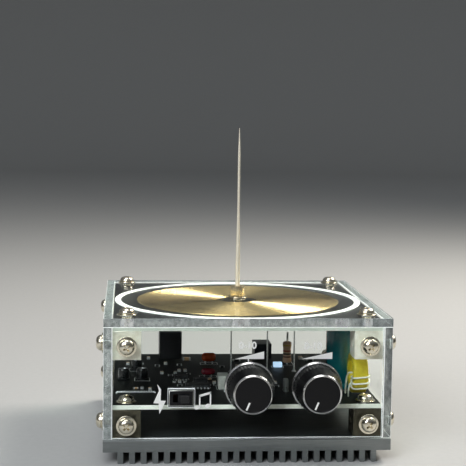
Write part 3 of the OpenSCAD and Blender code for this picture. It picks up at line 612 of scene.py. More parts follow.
sheets = [make_sheet("left_sheet", "left_wall", 0), make_sheet("right_sheet", "right_wall", 0),
          make_sheet("front_sheet", "front_panel", 1), make_sheet("rear_sheet", "rear_panel", 1),
          make_sheet("lid_sheet", "top_plate", 2)]
print("sheets:", {s.name: len(s.data.polygons) for s in sheets})

# %% [markdown]
# ## The winding under the lid
# The spiral could be a curve with a bevel, but then its thousands of points would be worked out
# by hand. Instead a comb of strand sections is spun once round the middle, and then each point
# moves outwards by its angle's share of one pitch. That turns the closed rings into one spiral,
# whose strands meet end to end and are joined there.

# %% The gold spiral
SPIRAL_TURNS, SPIRAL_STEPS, SPIRAL_HOLE = 72, 120, 7.0
STRAND_GAP, STRAND_HEADROOM = 0.08, 0.12
STRAND_SECTION = [(0.0, 0.0), (0.0, 0.5), (0.2, 0.85), (0.5, 1.0), (0.8, 0.85), (1.0, 0.5), (1.0, 0.0)]


def make_spiral():
    low, high = span("secondary_winding")
    pitch = (min(-low.x, high.x) - SPIRAL_HOLE) / (SPIRAL_TURNS + 1)
    wide, tall = pitch - STRAND_GAP, high.z - low.z - STRAND_HEADROOM
    bm = bmesh.new()
    for turn in range(SPIRAL_TURNS):
        start = SPIRAL_HOLE + turn * pitch
        edge_line(bm, [(start + u * wide, low.z + v * tall) for u, v in STRAND_SECTION])
    bmesh.ops.spin(bm, geom=bm.verts[:] + bm.edges[:], axis=(0, 0, 1), cent=(0, 0, 0),
                   steps=SPIRAL_STEPS, angle=2 * math.pi, use_merge=False)
    last = set(bm.verts[-SPIRAL_TURNS * len(STRAND_SECTION):])
    for v in bm.verts:
        turned = math.atan2(v.co.y, v.co.x) % (2 * math.pi) / (2 * math.pi)
        turned = 1.0 if v in last else 0.0 if turned > 0.999 else turned
        radius = math.hypot(v.co.x, v.co.y)
        v.co.xy = v.co.xy * ((radius + turned * pitch) / radius)
    bmesh.ops.remove_doubles(bm, verts=bm.verts, dist=0.004)
    bmesh.ops.holes_fill(bm, edges=[e for e in bm.edges if e.is_boundary], sides=0)
    bmesh.ops.recalc_face_normals(bm, faces=bm.faces)
    return make_piece("gold_spiral", bm, [gold], "winding_copper",
                      replaces=["secondary_winding"], sharp=50)


spiral = make_spiral()
print("spiral:", SPIRAL_TURNS, "turns,", len(spiral.data.polygons), "faces")

# %% [markdown]
# The white ring is one flat turn round the spiral. It is spun from a section with rounded upper
# corners, so a thin highlight runs along both of its edges.

# %% The white ring
RING_WIDE, RING_LIP, RING_CROWN = 2.2, 0.15, 0.4


def make_ring():
    low, high = span("primary_ring")
    outer, inner, top = high.x, high.x - RING_WIDE, high.z
    section = [(inner, low.z), (inner, top - RING_LIP), (inner + RING_LIP, top - 0.03),
               (inner + RING_CROWN, top), (outer - RING_CROWN, top), (outer - RING_LIP, top - 0.03),
               (outer, top - RING_LIP), (outer, low.z)]
    return make_piece("white_ring", spun(section, 144), [white_ink], "white_ring",
                      replaces=["primary_ring"])


ring = make_ring()
print("ring:", len(ring.data.polygons), "faces")

# %% [markdown]
# ## Fasteners
# All screws are one pan-head shape at different lengths: a domed head, a tapered cross recess
# and a threaded shank that shows through the clear sheets. The head and the thread are spun; the
# recess is cut by a Boolean modifier, because a cross-shaped pit is easier to subtract than to
# extrude. One finished screw is then copied to each place of a node.

# %% A screw
HEAD_D, HEAD_H, SHANK_D, THREAD_PITCH, THREAD_DEPTH = 5.5, 2.1, 3.0, 0.5, 0.22


def screw_section(length):
    head = [(0, HEAD_H), (1.1, HEAD_H - 0.06), (1.9, HEAD_H - 0.3), (2.4, HEAD_H - 0.75),
            (HEAD_D / 2 - 0.06, HEAD_H - 1.3), (HEAD_D / 2, HEAD_H - 1.6), (HEAD_D / 2, 0.15),
            (HEAD_D / 2 - 0.12, 0), (SHANK_D / 2, 0)]
    thread = []
    for i in range(int((length - 0.7) / THREAD_PITCH)):
        z = -0.35 - i * THREAD_PITCH
        thread += [(SHANK_D / 2, z), (SHANK_D / 2 - THREAD_DEPTH, z - THREAD_PITCH / 2)]
    return head + thread + [(SHANK_D / 2 - THREAD_DEPTH, -length + 0.3), (SHANK_D / 2 - 0.45, -length),
                            (0, -length)]


def cross_cutter():
    """Two crossed wedges that narrow towards the bottom of the recess."""
    bm = bmesh.new()
    height = HEAD_H - 0.45
    for turn in (0, 90):
        made = block(bm, (3.3, 0.78, 1.6), (0, 0, height))
        bmesh.ops.scale(bm, vec=(0.45, 0.55, 1), verts=[v for v in made if v.co.z < height])
        turn_about_z(bm, turn, made)
    return bm


def cut(bm, cutter):
    """bm less the cutter, by an exact Boolean."""
    body, tool = show("cut_body", as_mesh("cut_body", bm)), show("cut_tool", as_mesh("cut_tool", cutter))
    knife = body.modifiers.new("cut", "BOOLEAN")
    knife.object, knife.operation, knife.solver = tool, "DIFFERENCE", "EXACT"
    knife.use_self = True
    bpy.context.view_layer.update()
    left = bmesh.new()
    left.from_mesh(body.evaluated_get(bpy.context.evaluated_depsgraph_get()).data)
    for made in (body, tool):
        mesh = made.data
        bpy.data.objects.remove(made)
        bpy.data.meshes.remove(mesh)
    return left


def make_screw(length):
    bm = cut(spun(screw_section(length), 28, closed=False), cross_cutter())
    bmesh.ops.remove_doubles(bm, verts=bm.verts, dist=0.002)
    return bm


def stamped(bm, placings):
    """One bmesh that holds a copy of bm at each placing."""
    mesh = as_mesh("stamp", bm)
    whole = bmesh.new()
    for placing in placings:
        before = len(whole.verts)
        whole.from_mesh(mesh)
        whole.verts.ensure_lookup_table()
        bmesh.ops.transform(whole, matrix=placing, verts=whole.verts[before:])
    bpy.data.meshes.remove(mesh)
    return whole


print("a 6 mm screw:", len(make_screw(6).faces), "faces")

# %% [markdown]
# The places come from the frame: the corner cubes say where the fastenings are, and the washers
# say how far out. A screw's own Z axis is turned to point away from the sheet that it holds.

# %% All the screws
WASHER_T, SHEET_T, BOARD_T, WINDING_BOARD_T, BOARD_GAP = 0.5, 3.0, 1.6, 1.2, 0.5
BITE, STUD_BITE, HALF_CUBE, FIN_H = 2.4, 1.8, 5, 4.1
CASE_X, CASE_Y, case_top = span("top_plate")[1]
sink_top, board_top = span("heat_sink")[1].z, span("main_board")[1].z
winding_base = span("winding_board")[0].z
BLOCK_X, BLOCK_Y = CASE_X - SHEET_T - HALF_CUBE, CASE_Y - SHEET_T - HALF_CUBE
LOW_Z, HIGH_Z = middle("lower_blocks").z, middle("upper_blocks").z


def facing(axis, side, place, spin=0):
    """The placing of a part whose Z axis is to point along an axis, outwards on that side."""
    turn = {"x": Matrix.Rotation(math.radians(90 * side), 4, "Y"),
            "y": Matrix.Rotation(math.radians(-90 * side), 4, "X"),
            "z": Matrix.Rotation(0 if side > 0 else math.pi, 4, "X")}[axis]
    return Matrix.Translation(place) @ turn @ Matrix.Rotation(math.radians(spin), 4, "Z")


def corners(z):
    return [(x, y, z) for x in (-BLOCK_X, BLOCK_X) for y in (-BLOCK_Y, BLOCK_Y)]


def on_sheet(axis, side, lift):
    """The fastening places on one sheet of the case, a lift away from its face."""
    heights = (LOW_Z, HIGH_Z)
    if axis == "x":
        return [(side * (CASE_X + lift), y, z) for y in (-BLOCK_Y, BLOCK_Y) for z in heights]
    return [(x, side * (CASE_Y + lift), z) for x in (-BLOCK_X, BLOCK_X) for z in heights]


def drive_angle(place):
    """Every screw stops at its own angle."""
    return random.Random(str(tuple(round(c) for c in place))).uniform(0, 90)


def driven(axis, side, places):
    """The placings of screws that are driven in along an axis."""
    return [facing(axis, side, place, drive_angle(place)) for place in places]


def through_sheet(axis, side):
    return driven(axis, side, on_sheet(axis, side, WASHER_T))


screw_foot, screw_crown = span("transistor_screws")
TRANSISTOR_PLACES = [(x, middle("transistor_screws").y, screw_crown.z - HEAD_H) for x in (-14, 14)]
SCREWS = {  # length, placings
    "top_screws": (WASHER_T + SHEET_T + BOARD_GAP + WINDING_BOARD_T + BITE,
                   driven("z", 1, corners(case_top + WASHER_T))),
    "front_screws": (WASHER_T + SHEET_T + BITE, through_sheet("y", -1)),
    "rear_screws": (WASHER_T + SHEET_T + BITE, through_sheet("y", 1)),
    "side_screws": (WASHER_T + SHEET_T + BITE, through_sheet("x", -1) + through_sheet("x", 1)),
    "base_screws": (sink_top - FIN_H + BITE, driven("z", -1, corners(FIN_H))),
    "board_screws": (WASHER_T + BOARD_T + BITE, driven("z", 1, corners(board_top + WASHER_T))),
    "needle_screw": (WINDING_BOARD_T + BOARD_GAP + SHEET_T + WASHER_T + STUD_BITE,
                     driven("z", -1, [(0, 0, winding_base)])),
    "transistor_screws": (screw_crown.z - screw_foot.z - HEAD_H, driven("z", 1, TRANSISTOR_PLACES)),
}
for node, (length, where) in SCREWS.items():
    make_piece(node + "_threaded", stamped(make_screw(length), where), [nickel], "nickel",
               replaces=[node], sharp=40)
print("screws:", sum(len(where) for _, where in SCREWS.values()))

# %% [markdown]
# Washers, cubes and the hexagonal stud keep their CAD form with worn, rounded edges: a bevel on
# a joined copy is enough. The upper cubes get a pale copy of the nickel, partly painted light, and
# the lower ones a dark copy, painted shade for the dark inside of the box.

# %% Washers, corner cubes and the stud
def softened(name, node, materials, slot, width, segments=2, **options):
    bm = copy_of(node)
    soften(bm, width, segments)
    return make_piece(name, bm, materials, slot, replaces=[node], **options)


for washer_node in ("top_washers", "front_washers", "rear_washers", "side_washers",
                    "board_washers", "needle_washer"):
    softened(washer_node + "_rounded", washer_node, [nickel], "nickel", 0.12, sharp=40)
softened("upper_cubes", "upper_blocks", [painted_lit_nickel], "nickel", 0.4)
# The lower cubes' dark nickel is painted shade
softened("lower_cubes", "lower_blocks", [painted_shade_nickel], "dark_nickel", 0.4)
softened("hexagon_stud", "needle_stud", [brass], "stud_brass", 0.25)

# %% [markdown]
# ## The finned plate
# The heat sink is sawn from a long extrusion. Its own shape is right in the CAD, so the copy only
# gets a fine bevel, painted near-white: bare metal, and a painted highlight that makes the thin
# bright line along the plate and round each fin.

# %% The heat sink
fins = copy_of("heat_sink")
# The bevel faces get the near-white edge aluminium: bare metal and a painted highlight
paint(soften(fins, 0.14), 1)
plate = make_piece("finned_plate", fins, [aluminium, bare_and_highlight_edge], "heat_sink_aluminium",
                   replaces=["heat_sink"])
print("finned plate:", len(plate.data.polygons), "faces")

# %% [markdown]
# ## The knobs
# A knob is turned from black bar: a skirt with a bright chamfer, a knurled band, a smooth cone
# and a dished face inside a second bright chamfer. One section spun round gives all of it; the
# knurl comes from pushing every few points of the band inwards, so it has real ridges.

# %% Knobs and their pointers
KNOB_RIDGES, STEPS_PER_RIDGE, KNURL_DEPTH = 44, 4, 0.3
KNURL_LOW, KNURL_HIGH, KNURL_R, POINTER_ANGLE = 1.8, 6.9, 8.05, 203
KNOB_SECTION = [(0, 10), (3.05, 10), (3.05, 0), (8.45, 0), (8.65, 0.2), (8.65, 1.0), (8.15, 1.5),
                (7.75, 1.55), (KNURL_R, KNURL_LOW), (KNURL_R, KNURL_HIGH), (7.75, 7.15), (6.76, 13.0),
                (6.7, 13.15), (6.25, 13.6), (6.1, 13.55), (5.8, 13.2), (0, 13.2)]
BRIGHT_BANDS = ((1.0, 1.5), (13.14, 13.61))


def knob_form():
    bm = spun(KNOB_SECTION, KNOB_RIDGES * STEPS_PER_RIDGE, closed=False)
    step = 2 * math.pi / (KNOB_RIDGES * STEPS_PER_RIDGE)
    for v in bm.verts:
        radius = math.hypot(v.co.x, v.co.y)
        if KNURL_LOW - 0.01 < v.co.z < KNURL_HIGH + 0.01 and radius > KNURL_R - 0.15:
            phase = round(math.atan2(v.co.y, v.co.x) / step) % STEPS_PER_RIDGE
            depth = KNURL_DEPTH * (1 - abs(phase - STEPS_PER_RIDGE / 2) / (STEPS_PER_RIDGE / 2))
            v.co.xy = v.co.xy * ((radius - depth) / radius)
    for low, high in BRIGHT_BANDS:
        paint(bm.faces, 1, lambda f: all(low - 0.01 < v.co.z < high + 0.01 for v in f.verts)
              and spot(f).xy.length > 6)
    return bm


def pointer_form():
    """The white line let into a knob's face."""
    bm = bmesh.new()
    block(bm, (0.6, 2.8, 0.34), (0, 4.35, 13.1))
    soften(bm, 0.05)
    turn_about_z(bm, -POINTER_ANGLE, bm.verts)
    return bm


for control in ("freq", "power"):
    low, high = span(control + "_knob")
    seat = facing("y", -1, ((low.x + high.x) / 2, high.y, (low.z + high.z) / 2))
    make_piece(control + "_knob_turned", stamped(knob_form(), [seat]), [black_metal, turned_rim],
               "black_anodised", body=control + "_dial", replaces=[control + "_knob"], sharp=24)
    make_piece(control + "_pointer", stamped(pointer_form(), [seat]), [white_ink], "white_ring",
               body=control + "_dial")
print("knobs:", KNOB_RIDGES, "ridges each")

# %% [markdown]
# ## Marks on the front sheet
# The marks are screen printed, so they are thin, white and sharp at the edge. They could be a
# picture on the sheet, but thin solids stay crisp at any size. A wedge over each knob says less
# and more, a plain pair of numbers names its range, and two signs stand beside the switch.

# %% Printed marks
INK_T, INK_SINK = 0.02, 0.005
INK_BACK = -CASE_Y + SHEET_PLAY + INK_SINK


def picked(geometry, kind):
    """The points or the edges of what an operator made."""
    return [part for part in geometry if isinstance(part, kind)]


def thicken(bm, thickness, direction):
    grown = bmesh.ops.extrude_face_region(bm, geom=bm.faces[:])["geom"]
    bmesh.ops.translate(bm, vec=Vector(direction) * thickness, verts=picked(grown, bmesh.types.BMVert))
    bmesh.ops.recalc_face_normals(bm, faces=bm.faces)
    return bm


def printed(outline):
    """A thin plate of ink on the front sheet, from its outline (x, z)."""
    bm = bmesh.new()
    bm.faces.new([bm.verts.new((x, INK_BACK, z)) for x, z in outline])
    return thicken(bm, INK_T + INK_SINK, (0, -1, 0))


def printed_dot(x, z, wide, high, turn):
    bm = bmesh.new()
    bmesh.ops.create_circle(bm, cap_ends=True, segments=24, radius=0.5)
    place = (Matrix.Translation((x, INK_BACK, z)) @ Matrix.Rotation(math.radians(turn), 4, "Y")
             @ Matrix.Diagonal((wide, 1, high, 1)) @ Matrix.Rotation(math.radians(90), 4, "X"))
    bmesh.ops.transform(bm, matrix=place, verts=bm.verts)
    return thicken(bm, INK_T + INK_SINK, (0, -1, 0))


def numerals(figures, size, x, z):
    """Plain numbers, set as a text object and taken over as a mesh."""
    curve = bpy.data.curves.new("numerals", "FONT")
    curve.body, curve.size, curve.extrude, curve.offset = figures, size, INK_T / 2, 0.09
    curve.align_x, curve.align_y, curve.resolution_u = "CENTER", "CENTER", 4
    shown = show("numerals", curve)
    bpy.context.view_layer.update()
    mesh = bpy.data.meshes.new_from_object(shown.evaluated_get(bpy.context.evaluated_depsgraph_get()))
    bm = bmesh.new()
    bm.from_mesh(mesh)
    for made, store in ((shown, bpy.data.objects), (curve, bpy.data.curves), (mesh, bpy.data.meshes)):
        store.remove(made)
    bmesh.ops.transform(bm, verts=bm.verts, matrix=Matrix.Translation((x, INK_BACK - INK_T / 2, z))
                        @ Matrix.Rotation(math.radians(90), 4, "X"))
    return bm


def joined(parts):
    """One bmesh that holds all the parts."""
    whole = bmesh.new()
    for bm in parts:
        mesh = as_mesh("joined_part", bm)
        whole.from_mesh(mesh)
        bpy.data.meshes.remove(mesh)
    return whole


WEDGES = [[(-5.0, 36.45), (5.1, 36.45), (5.1, 39.1)], [(18.0, 36.4), (28.8, 36.4), (28.8, 38.8)]]
BOLT = [(-31.5, 27.8), (-30.2, 26.0), (-30.3, 22.1), (-28.5, 22.0), (-30.7, 17.4), (-31.0, 21.1),
        (-32.8, 21.2), (-30.9, 25.5)]
NOTE_LINES = [[(-17.15, 19.6), (-16.65, 19.6), (-16.65, 24.0), (-17.15, 23.6)],
              [(-13.45, 20.2), (-12.95, 20.2), (-12.95, 25.1), (-13.45, 24.9)],
              [(-17.15, 23.2), (-12.95, 24.4), (-12.95, 25.2), (-17.15, 24.0)]]
marks = [printed(line) for line in WEDGES + [BOLT] + NOTE_LINES]
marks.append(printed([(-0.5, 35.4), (-0.1, 35.4), (-0.1, 36.5), (-0.5, 36.5)]))
marks += [printed_dot(-17.8, 19.6, 1.9, 1.4, -20), printed_dot(-14.1, 20.2, 1.9, 1.4, -20)]
marks += [numerals("0-10", 3.4, -0.6, 41.1), numerals("0-10", 3.4, 22.0, 40.9)]
make_piece("printed_marks", joined(marks), [white_ink], "white_ring")
print("printed marks:", len(marks))

# %% [markdown]
# ## The boards
# A board is black lacquer over glass fibre. Its sawn edge is not lacquered, so the pale fibre shows
# as a bright line, which is how a board is told from a sheet of plastic. The copy of each CAD board
# gets that second finish on its edges. White outlines on top mark where the parts belong.

# %% Boards with pale edges
def fibre_edge():
    r = Recipe("fibre_edge")
    layers = r.noise(scale=1.2, detail=3, place=r.place(scale=(0.4, 0.4, 9)))
    colour = r.blend(layers, tint("#fbfbf2"), tint("#d2d3c2"))
    return r.done(r.principled(colour, 0.55, Normal=r.bump(layers, 0.03)))


board_fibre = fibre_edge()


def make_board(name, node, face_finish):
    bm = copy_of(node)
    paint(bm.faces, 1, lambda face: abs(face.normal.z) < 0.5)
    soften(bm, 0.08)
    return make_piece(name, bm, [face_finish, board_fibre], "black_board", replaces=[node])


make_board("driver_board", "main_board", board_black)
make_board("coil_board", "winding_board", winding_black)


def frame_line(x, y, wide, deep, line=0.16):
    """A printed outline on the board."""
    bm = bmesh.new()
    bmesh.ops.create_grid(bm, x_segments=1, y_segments=1, size=0.5)
    bmesh.ops.scale(bm, vec=(wide, deep, 1), verts=bm.verts)
    bmesh.ops.inset_region(bm, faces=bm.faces[:], thickness=line, use_boundary=True,
                           use_even_offset=True)
    bmesh.ops.delete(bm, geom=[f for f in bm.faces if len(f.verts) == 4 and spot(f).length < 0.01],
                     context="FACES")
    bmesh.ops.translate(bm, vec=(x, y, board_top + INK_SINK), verts=bm.verts)
    return thicken(bm, INK_T, (0, 0, 1))


CHIPS = [(-21.4, -4, 5.1, 4), (-14.5, -10, 5.1, 4), (-16, -19, 8.9, 4), (30, 4, 5.1, 4), (6, -4, 10.2, 7.4)]
CANS = [(-43, -4), (-36.1, -4), (-38, 14), (38, -6), (4, -24)]
OTHER_FRAMES = [(36.7, -18.5, 12.4, 12.4), (22.4, 26, 5, 8.4), (-6.6, -19, 5, 8), (-9, 26, 7, 4),
                (-10.9, 1, 6.6, 3.6), (18, 19, 4.8, 3.8)]
frames = [frame_line(x, y, w + 0.8, d - 1.9) for x, y, w, d in CHIPS]
frames += [frame_line(x, y, 5.8, 5.8) for x, y in CANS[1:]]
frames += [frame_line(*where) for where in OTHER_FRAMES]
make_piece("board_outlines", joined(frames), [white_ink], "white_ring")
print("boards:", len(frames), "outlines")

# %% [markdown]
# ## Round bars
# Leads, legs and jumpers are all a round bar that follows a path. The bar starts as one circle,
# which is extruded from stop to stop and turned at each to face the way, as wire is bent.

# %% Bars that follow a path
def bar(path, radius, sides=10):
    path = [Vector(stop) for stop in path]
    ways = [(b - a).normalized() for a, b in zip(path, path[1:])]
    bm = bmesh.new()
    facing_way = ways[0].to_track_quat("Z", "Y").to_matrix().to_4x4()
    bmesh.ops.create_circle(bm, segments=sides, radius=radius,
                            matrix=Matrix.Translation(path[0]) @ facing_way)
    edges, heading = bm.edges[:], ways[0]
    for i, way in enumerate(ways):
        grown = bmesh.ops.extrude_edge_only(bm, edges=edges)["geom"]
        ring = picked(grown, bmesh.types.BMVert)
        edges = [e for e in picked(grown, bmesh.types.BMEdge) if all(v in ring for v in e.verts)]
        bmesh.ops.translate(bm, vec=path[i + 1] - path[i], verts=ring)
        ahead = (way + ways[min(i + 1, len(ways) - 1)]).normalized()
        bmesh.ops.rotate(bm, cent=path[i + 1], verts=ring,
                         matrix=heading.rotation_difference(ahead).to_matrix())
        heading = ahead
    bmesh.ops.holes_fill(bm, edges=[e for e in bm.edges if e.is_boundary], sides=0)
    bmesh.ops.recalc_face_normals(bm, faces=bm.faces)
    return bm


def arch(start, end, height, steps=10):
    """Stops of a half round from one foot to the other."""
    start, end = Vector(start), Vector(end)
    return [start.lerp(end, (1 - math.cos(math.pi * i / steps)) / 2)
            + Vector((0, 0, height * math.sin(math.pi * i / steps))) for i in range(steps + 1)]


print("a bent bar:", len(bar([(0, 0, 0), (0, 0, 2), (1, 0, 3)], 0.3).faces), "faces")

# %% [markdown]
# The three leads between the boards are bare tinned wire with a bead of solder at each end. A bead
# is a cone whose sides are hollow, because liquid tin climbs the wire. The section is spun once
# and stamped at each lead's place, and a jumper wire lies across the board at the front left.

# %% Leads, solder and the jumper
LEAD_PLACES = [(-1.4, 10), (12.8, 10), (23.4, 10)]
JUMPER_X, JUMPER_Y, JUMPER_LONG = -45.6, -28, 14
JUMPER_BENDS = [(0, 0.02), (0.03, 0.5), (0.5, 0.5), (0.97, 0.5), (1, 0.02)]  # share of its length, lift
lead_long = winding_base - board_top


def on_board(x, y, lift=0, turn=0):
    """The placing of a part that stands on the driver board."""
    return Matrix.Translation((x, y, board_top + lift)) @ Matrix.Rotation(math.radians(turn), 4, "Z")


def bead(length, wire_r=0.3, foot_r=1.0):
    foot = [(0, 0), (foot_r, 0), (foot_r, 0.08), (0.6, 0.3), (0.42, 0.6), (wire_r, 1.1)]
    return foot + [(radius, length - z) for radius, z in reversed(foot)]


leads = stamped(spun(bead(lead_long), 16, closed=False), [on_board(*where) for where in LEAD_PLACES])
make_piece("coil_leads_soldered", leads, [tin], "grey_lead", replaces=["coil_leads"])
jumper = [(JUMPER_X + JUMPER_LONG * share, JUMPER_Y, board_top + lift) for share, lift in JUMPER_BENDS]
make_piece("tinned_jumper", bar(jumper, 0.42, 12), [tin], "nickel")
print("leads:", len(LEAD_PLACES), "each", round(lead_long, 1), "mm")

# %% [markdown]
# ## The ring core and its winding
# The core keeps its CAD form with a finer rounding. The wire's CAD form is a six-sided tube; a copy
# of it, joined into quads and smoothed by a Subdivision Surface, is round and follows the same way.

# %% Ring core and wire
ROUNDING_LOSS = 0.035  # what the smoothing takes off the wire's radius
softened("ring_core", "toroid_core", [yellow_core], "yellow_core", 0.1, segments=1)


def make_ring_winding():
    bm = merged_copy("toroid_winding")
    bmesh.ops.join_triangles(bm, faces=bm.faces, angle_face_threshold=math.radians(60),
                             angle_shape_threshold=math.radians(60))
    for v, way in [(v, v.normal.copy()) for v in bm.verts]:
        v.co += way * ROUNDING_LOSS
    piece = make_piece("ring_winding", bm, [pale_wire], "white_wire", replaces=["toroid_winding"],
                       sharp=180)
    rounding = piece.modifiers.new("rounding", "SUBSURF")
    rounding.levels = rounding.render_levels = 2
    return piece


ring_winding = make_ring_winding()
print("ring winding:", len(ring_winding.data.polygons), "faces before smoothing")

# %% [markdown]
# ## Capacitors
# The tall electrolytic is an aluminium can in a shrunk sleeve: the sleeve wraps over the shoulder,
# a groove runs round the foot, the bare lid is dished and scored with a cross so that it can
# burst safely, and a pale stripe marks one side. All of it is one spun section but the cross,
# which is cut out like the recess of a screw.

# %% The tall electrolytic
def sleeved_can(height, radius, stripe, groove=True):
    """A can in its sleeve: faces 0 sleeve, 1 aluminium, 2 stripe."""
    foot = [(0, 0.05), (radius - 0.9, 0.05), (radius - 0.5, 0), (radius - 0.15, 0.15), (radius, 0.5)]
    if groove:
        foot += [(radius, 1.7), (radius - 0.2, 1.95), (radius - 0.4, 2.4), (radius - 0.2, 2.85),
                 (radius, 3.1)]
    top = [(radius, height - 0.6), (radius - 0.12, height - 0.22), (radius - 0.45, height),
           (radius - 0.9, height - 0.03), (radius - 1.0, height - 0.1), (radius - 1.1, height - 0.32),
           (0, height - 0.4)]
    bm = spun(foot + top, 64 if radius > 3 else 32, closed=False)
    paint(bm.faces, 1, lambda f: spot(f).xy.length < radius - 1.0 and spot(f).z > height / 2)
    low, high = stripe
    paint(bm.faces, 2, lambda f: spot(f).xy.length > radius - 0.5
          and low < math.degrees(math.atan2(spot(f).y, spot(f).x)) < high)
    return bm


def vent_cutter(radius, z):
    bm = bmesh.new()
    for turn in (25, 115):
        turn_about_z(bm, turn, block(bm, (radius * 1.3, 0.28, 0.5), (0, 0, z)))
    return bm


cap_low, cap_high = span("bulk_capacitor")
cap_height, cap_radius = cap_high.z - cap_low.z, (cap_high.x - cap_low.x) / 2
tall_can = cut(sleeved_can(cap_height, cap_radius, (-52, -30)), vent_cutter(cap_radius, cap_height - 0.3))
make_piece("sleeved_electrolytic", stamped(tall_can, [on_board(*middle("bulk_capacitor").xy)]),
           [teal_sleeve, silver_foil, sleeve_stripe], "teal_sleeve", replaces=["bulk_capacitor"], sharp=40)
print("electrolytic:", round(cap_height, 1), "mm tall,", round(2 * cap_radius, 1), "mm across")

# %% [markdown]
# The small cans are the same can at another size, on a square plastic foot with two cut corners.
# A box with bevelled edges stands for each moulded foot.

# %% Small cans
def plastic_foot(side, height, cut_corner):
    bm = bmesh.new()
    block(bm, (side, side, height), (0, 0, height / 2))
    bevel(bm, [e for e in bm.edges if abs(e.verts[0].co.z - e.verts[1].co.z) > height / 2
               and e.verts[0].co.x > 0], cut_corner)
    soften(bm, 0.06)
    return bm


can_low, can_high = span("small_capacitors")
can_height = can_high.z - can_low.z
one_can = joined([sleeved_can(can_height, 2.15, (60, 120), groove=False), plastic_foot(4.6, 0.7, 0.9)])
make_piece("sleeved_cans", stamped(one_can, [on_board(*where) for where in CANS]),
           [can_black, silver_foil, lead_grey], "can_black", replaces=["small_capacitors"], sharp=40)
print("small cans:", len(CANS))

# %% [markdown]
# A dipped capacitor is a chip in a bead of resin, so it has no edge at all: a box with wide round
# bevels, drawn in a little towards front and back. The grey film capacitor is a moulded box, so it
# keeps its edges and only loses their sharpness.

# %% Dipped and moulded capacitors
def dipped(name, node, finish, slot, lift):
    """A bead of resin on two legs: faces 0 resin, 1 tin."""
    low, high = span(node)
    size = high - low - Vector((0, 0, lift))
    bm = bmesh.new()
    block(bm, size)
    soften(bm, min(size) * 0.47, segments=5)
    for v in bm.verts:
        v.co.xz = v.co.xz * (1 - 0.14 * (abs(v.co.y) / size.y * 2) ** 2)
    y = (low.y + high.y) / 2
    bmesh.ops.translate(bm, vec=((low.x + high.x) / 2, y, low.z + lift + size.z / 2), verts=bm.verts)
    legs = joined([bar([(x, y, board_top), (x, y, board_top + lift + 1)], 0.3)
                   for x in ((low.x * 3 + high.x) / 4, (low.x + high.x * 3) / 4)])
    paint(legs.faces, 1)
    make_piece(name, joined([bm, legs]), [finish, tin], slot, replaces=[node], sharp=50)


dipped("orange_bead", "orange_capacitor", orange_dip, "orange_dip", 0.9)
dipped("red_bead", "red_capacitor", red_dip, "red_dip", 0.6)
softened("film_box", "film_capacitor", [film_grey], "grey_box", 0.35, segments=3)
print("beads:", orange_dip.name, red_dip.name)

# %% [markdown]
# ## The upright resistor
# Its body bulges at both ends where the caps are pressed on, and the colour rings are painted
# round it. The section is spun with a row of points at each ring's edge, so a ring is a row of
# faces with another finish. The lead comes out on top, bends over and goes down behind.

# %% Resistor
RING_ROWS = [(2.9, 3.5, 1), (4.1, 4.7, 2), (5.3, 5.9, 3), (7.6, 8.2, 4)]  # from, to, finish
RESISTOR_PLACE, LEAN, LEAD_REACH, BEND_HEIGHT = (22.4, 24.0), 80, 4.4, 10.2
ring_paints = [painted("ring_" + name, colour, shade, 0.3, Coat_Weight=0.4) for name, colour, shade in (
    ("brown", "#6b3517", "#532811"), ("black", "#1c1a19", "#100f0f"), ("red", "#a02b1d", "#7f2015"),
    ("gold", "#c9a24a", "#a9863a"))]


def make_resistor():
    section = [(0, 0.8), (1.2, 0.8), (1.65, 1.05), (1.8, 1.6), (1.75, 2.3), (1.6, 2.8)]
    section += [(1.6, z) for row in RING_ROWS[:3] for z in row[:2]]
    section += [(1.6, 6.6), (1.72, 7.3), (1.79, 7.6), (1.8, 8.2), (1.78, 8.6), (1.6, 9.05), (1.2, 9.3),
                (0, 9.3)]
    body = spun(section, 40, closed=False)
    for start, end, index in RING_ROWS:
        paint(body.faces, index, lambda f: start - 0.01 < spot(f).z < end + 0.01
              and spot(f).xy.length > 1.3)
    behind = Vector((math.cos(math.radians(LEAN)), math.sin(math.radians(LEAN)), 0)) * LEAD_REACH
    over = arch((0, 0, BEND_HEIGHT), behind + Vector((0, 0, BEND_HEIGHT)), 2.2)
    wire = bar([(0, 0, 0), (0, 0, 9)] + over + [behind], 0.35)
    paint(wire.faces, 5)
    make_piece("banded_resistor", stamped(joined([body, wire]), [on_board(*RESISTOR_PLACE)]),
               [tan_lacquer] + ring_paints + [tin], "tan_lacquer", replaces=["upright_resistor"], sharp=40)


make_resistor()
print("resistor rings:", len(RING_ROWS))

# %% [markdown]
# ## Chips and the small surface parts
# The moulded chips are the CAD ones with softened edges and bright pins: a pin's faces are told
# from the body's by their small area.

# %% Chips with tinned pins
chips = copy_of("driver_chips")
soften(chips, 0.07)
paint(chips.faces, 1, lambda f: f.calc_area() < 0.6 and spot(f).z < board_top + 0.52)
dots = stamped(spun([(0, 0), (0.35, 0), (0.35, 0.02), (0, 0.02)], 16, closed=False),
               [on_board(x - w / 2 + 0.9, y - d / 2 + 0.9, 2.3 if d > 5 else 1.7) for x, y, w, d in CHIPS])
paint(dots.faces, 2)
make_piece("pinned_chips", joined([chips, dots]), [chip_black, tin, lead_grey], "chip_black",
           replaces=["driver_chips"], sharp=40)

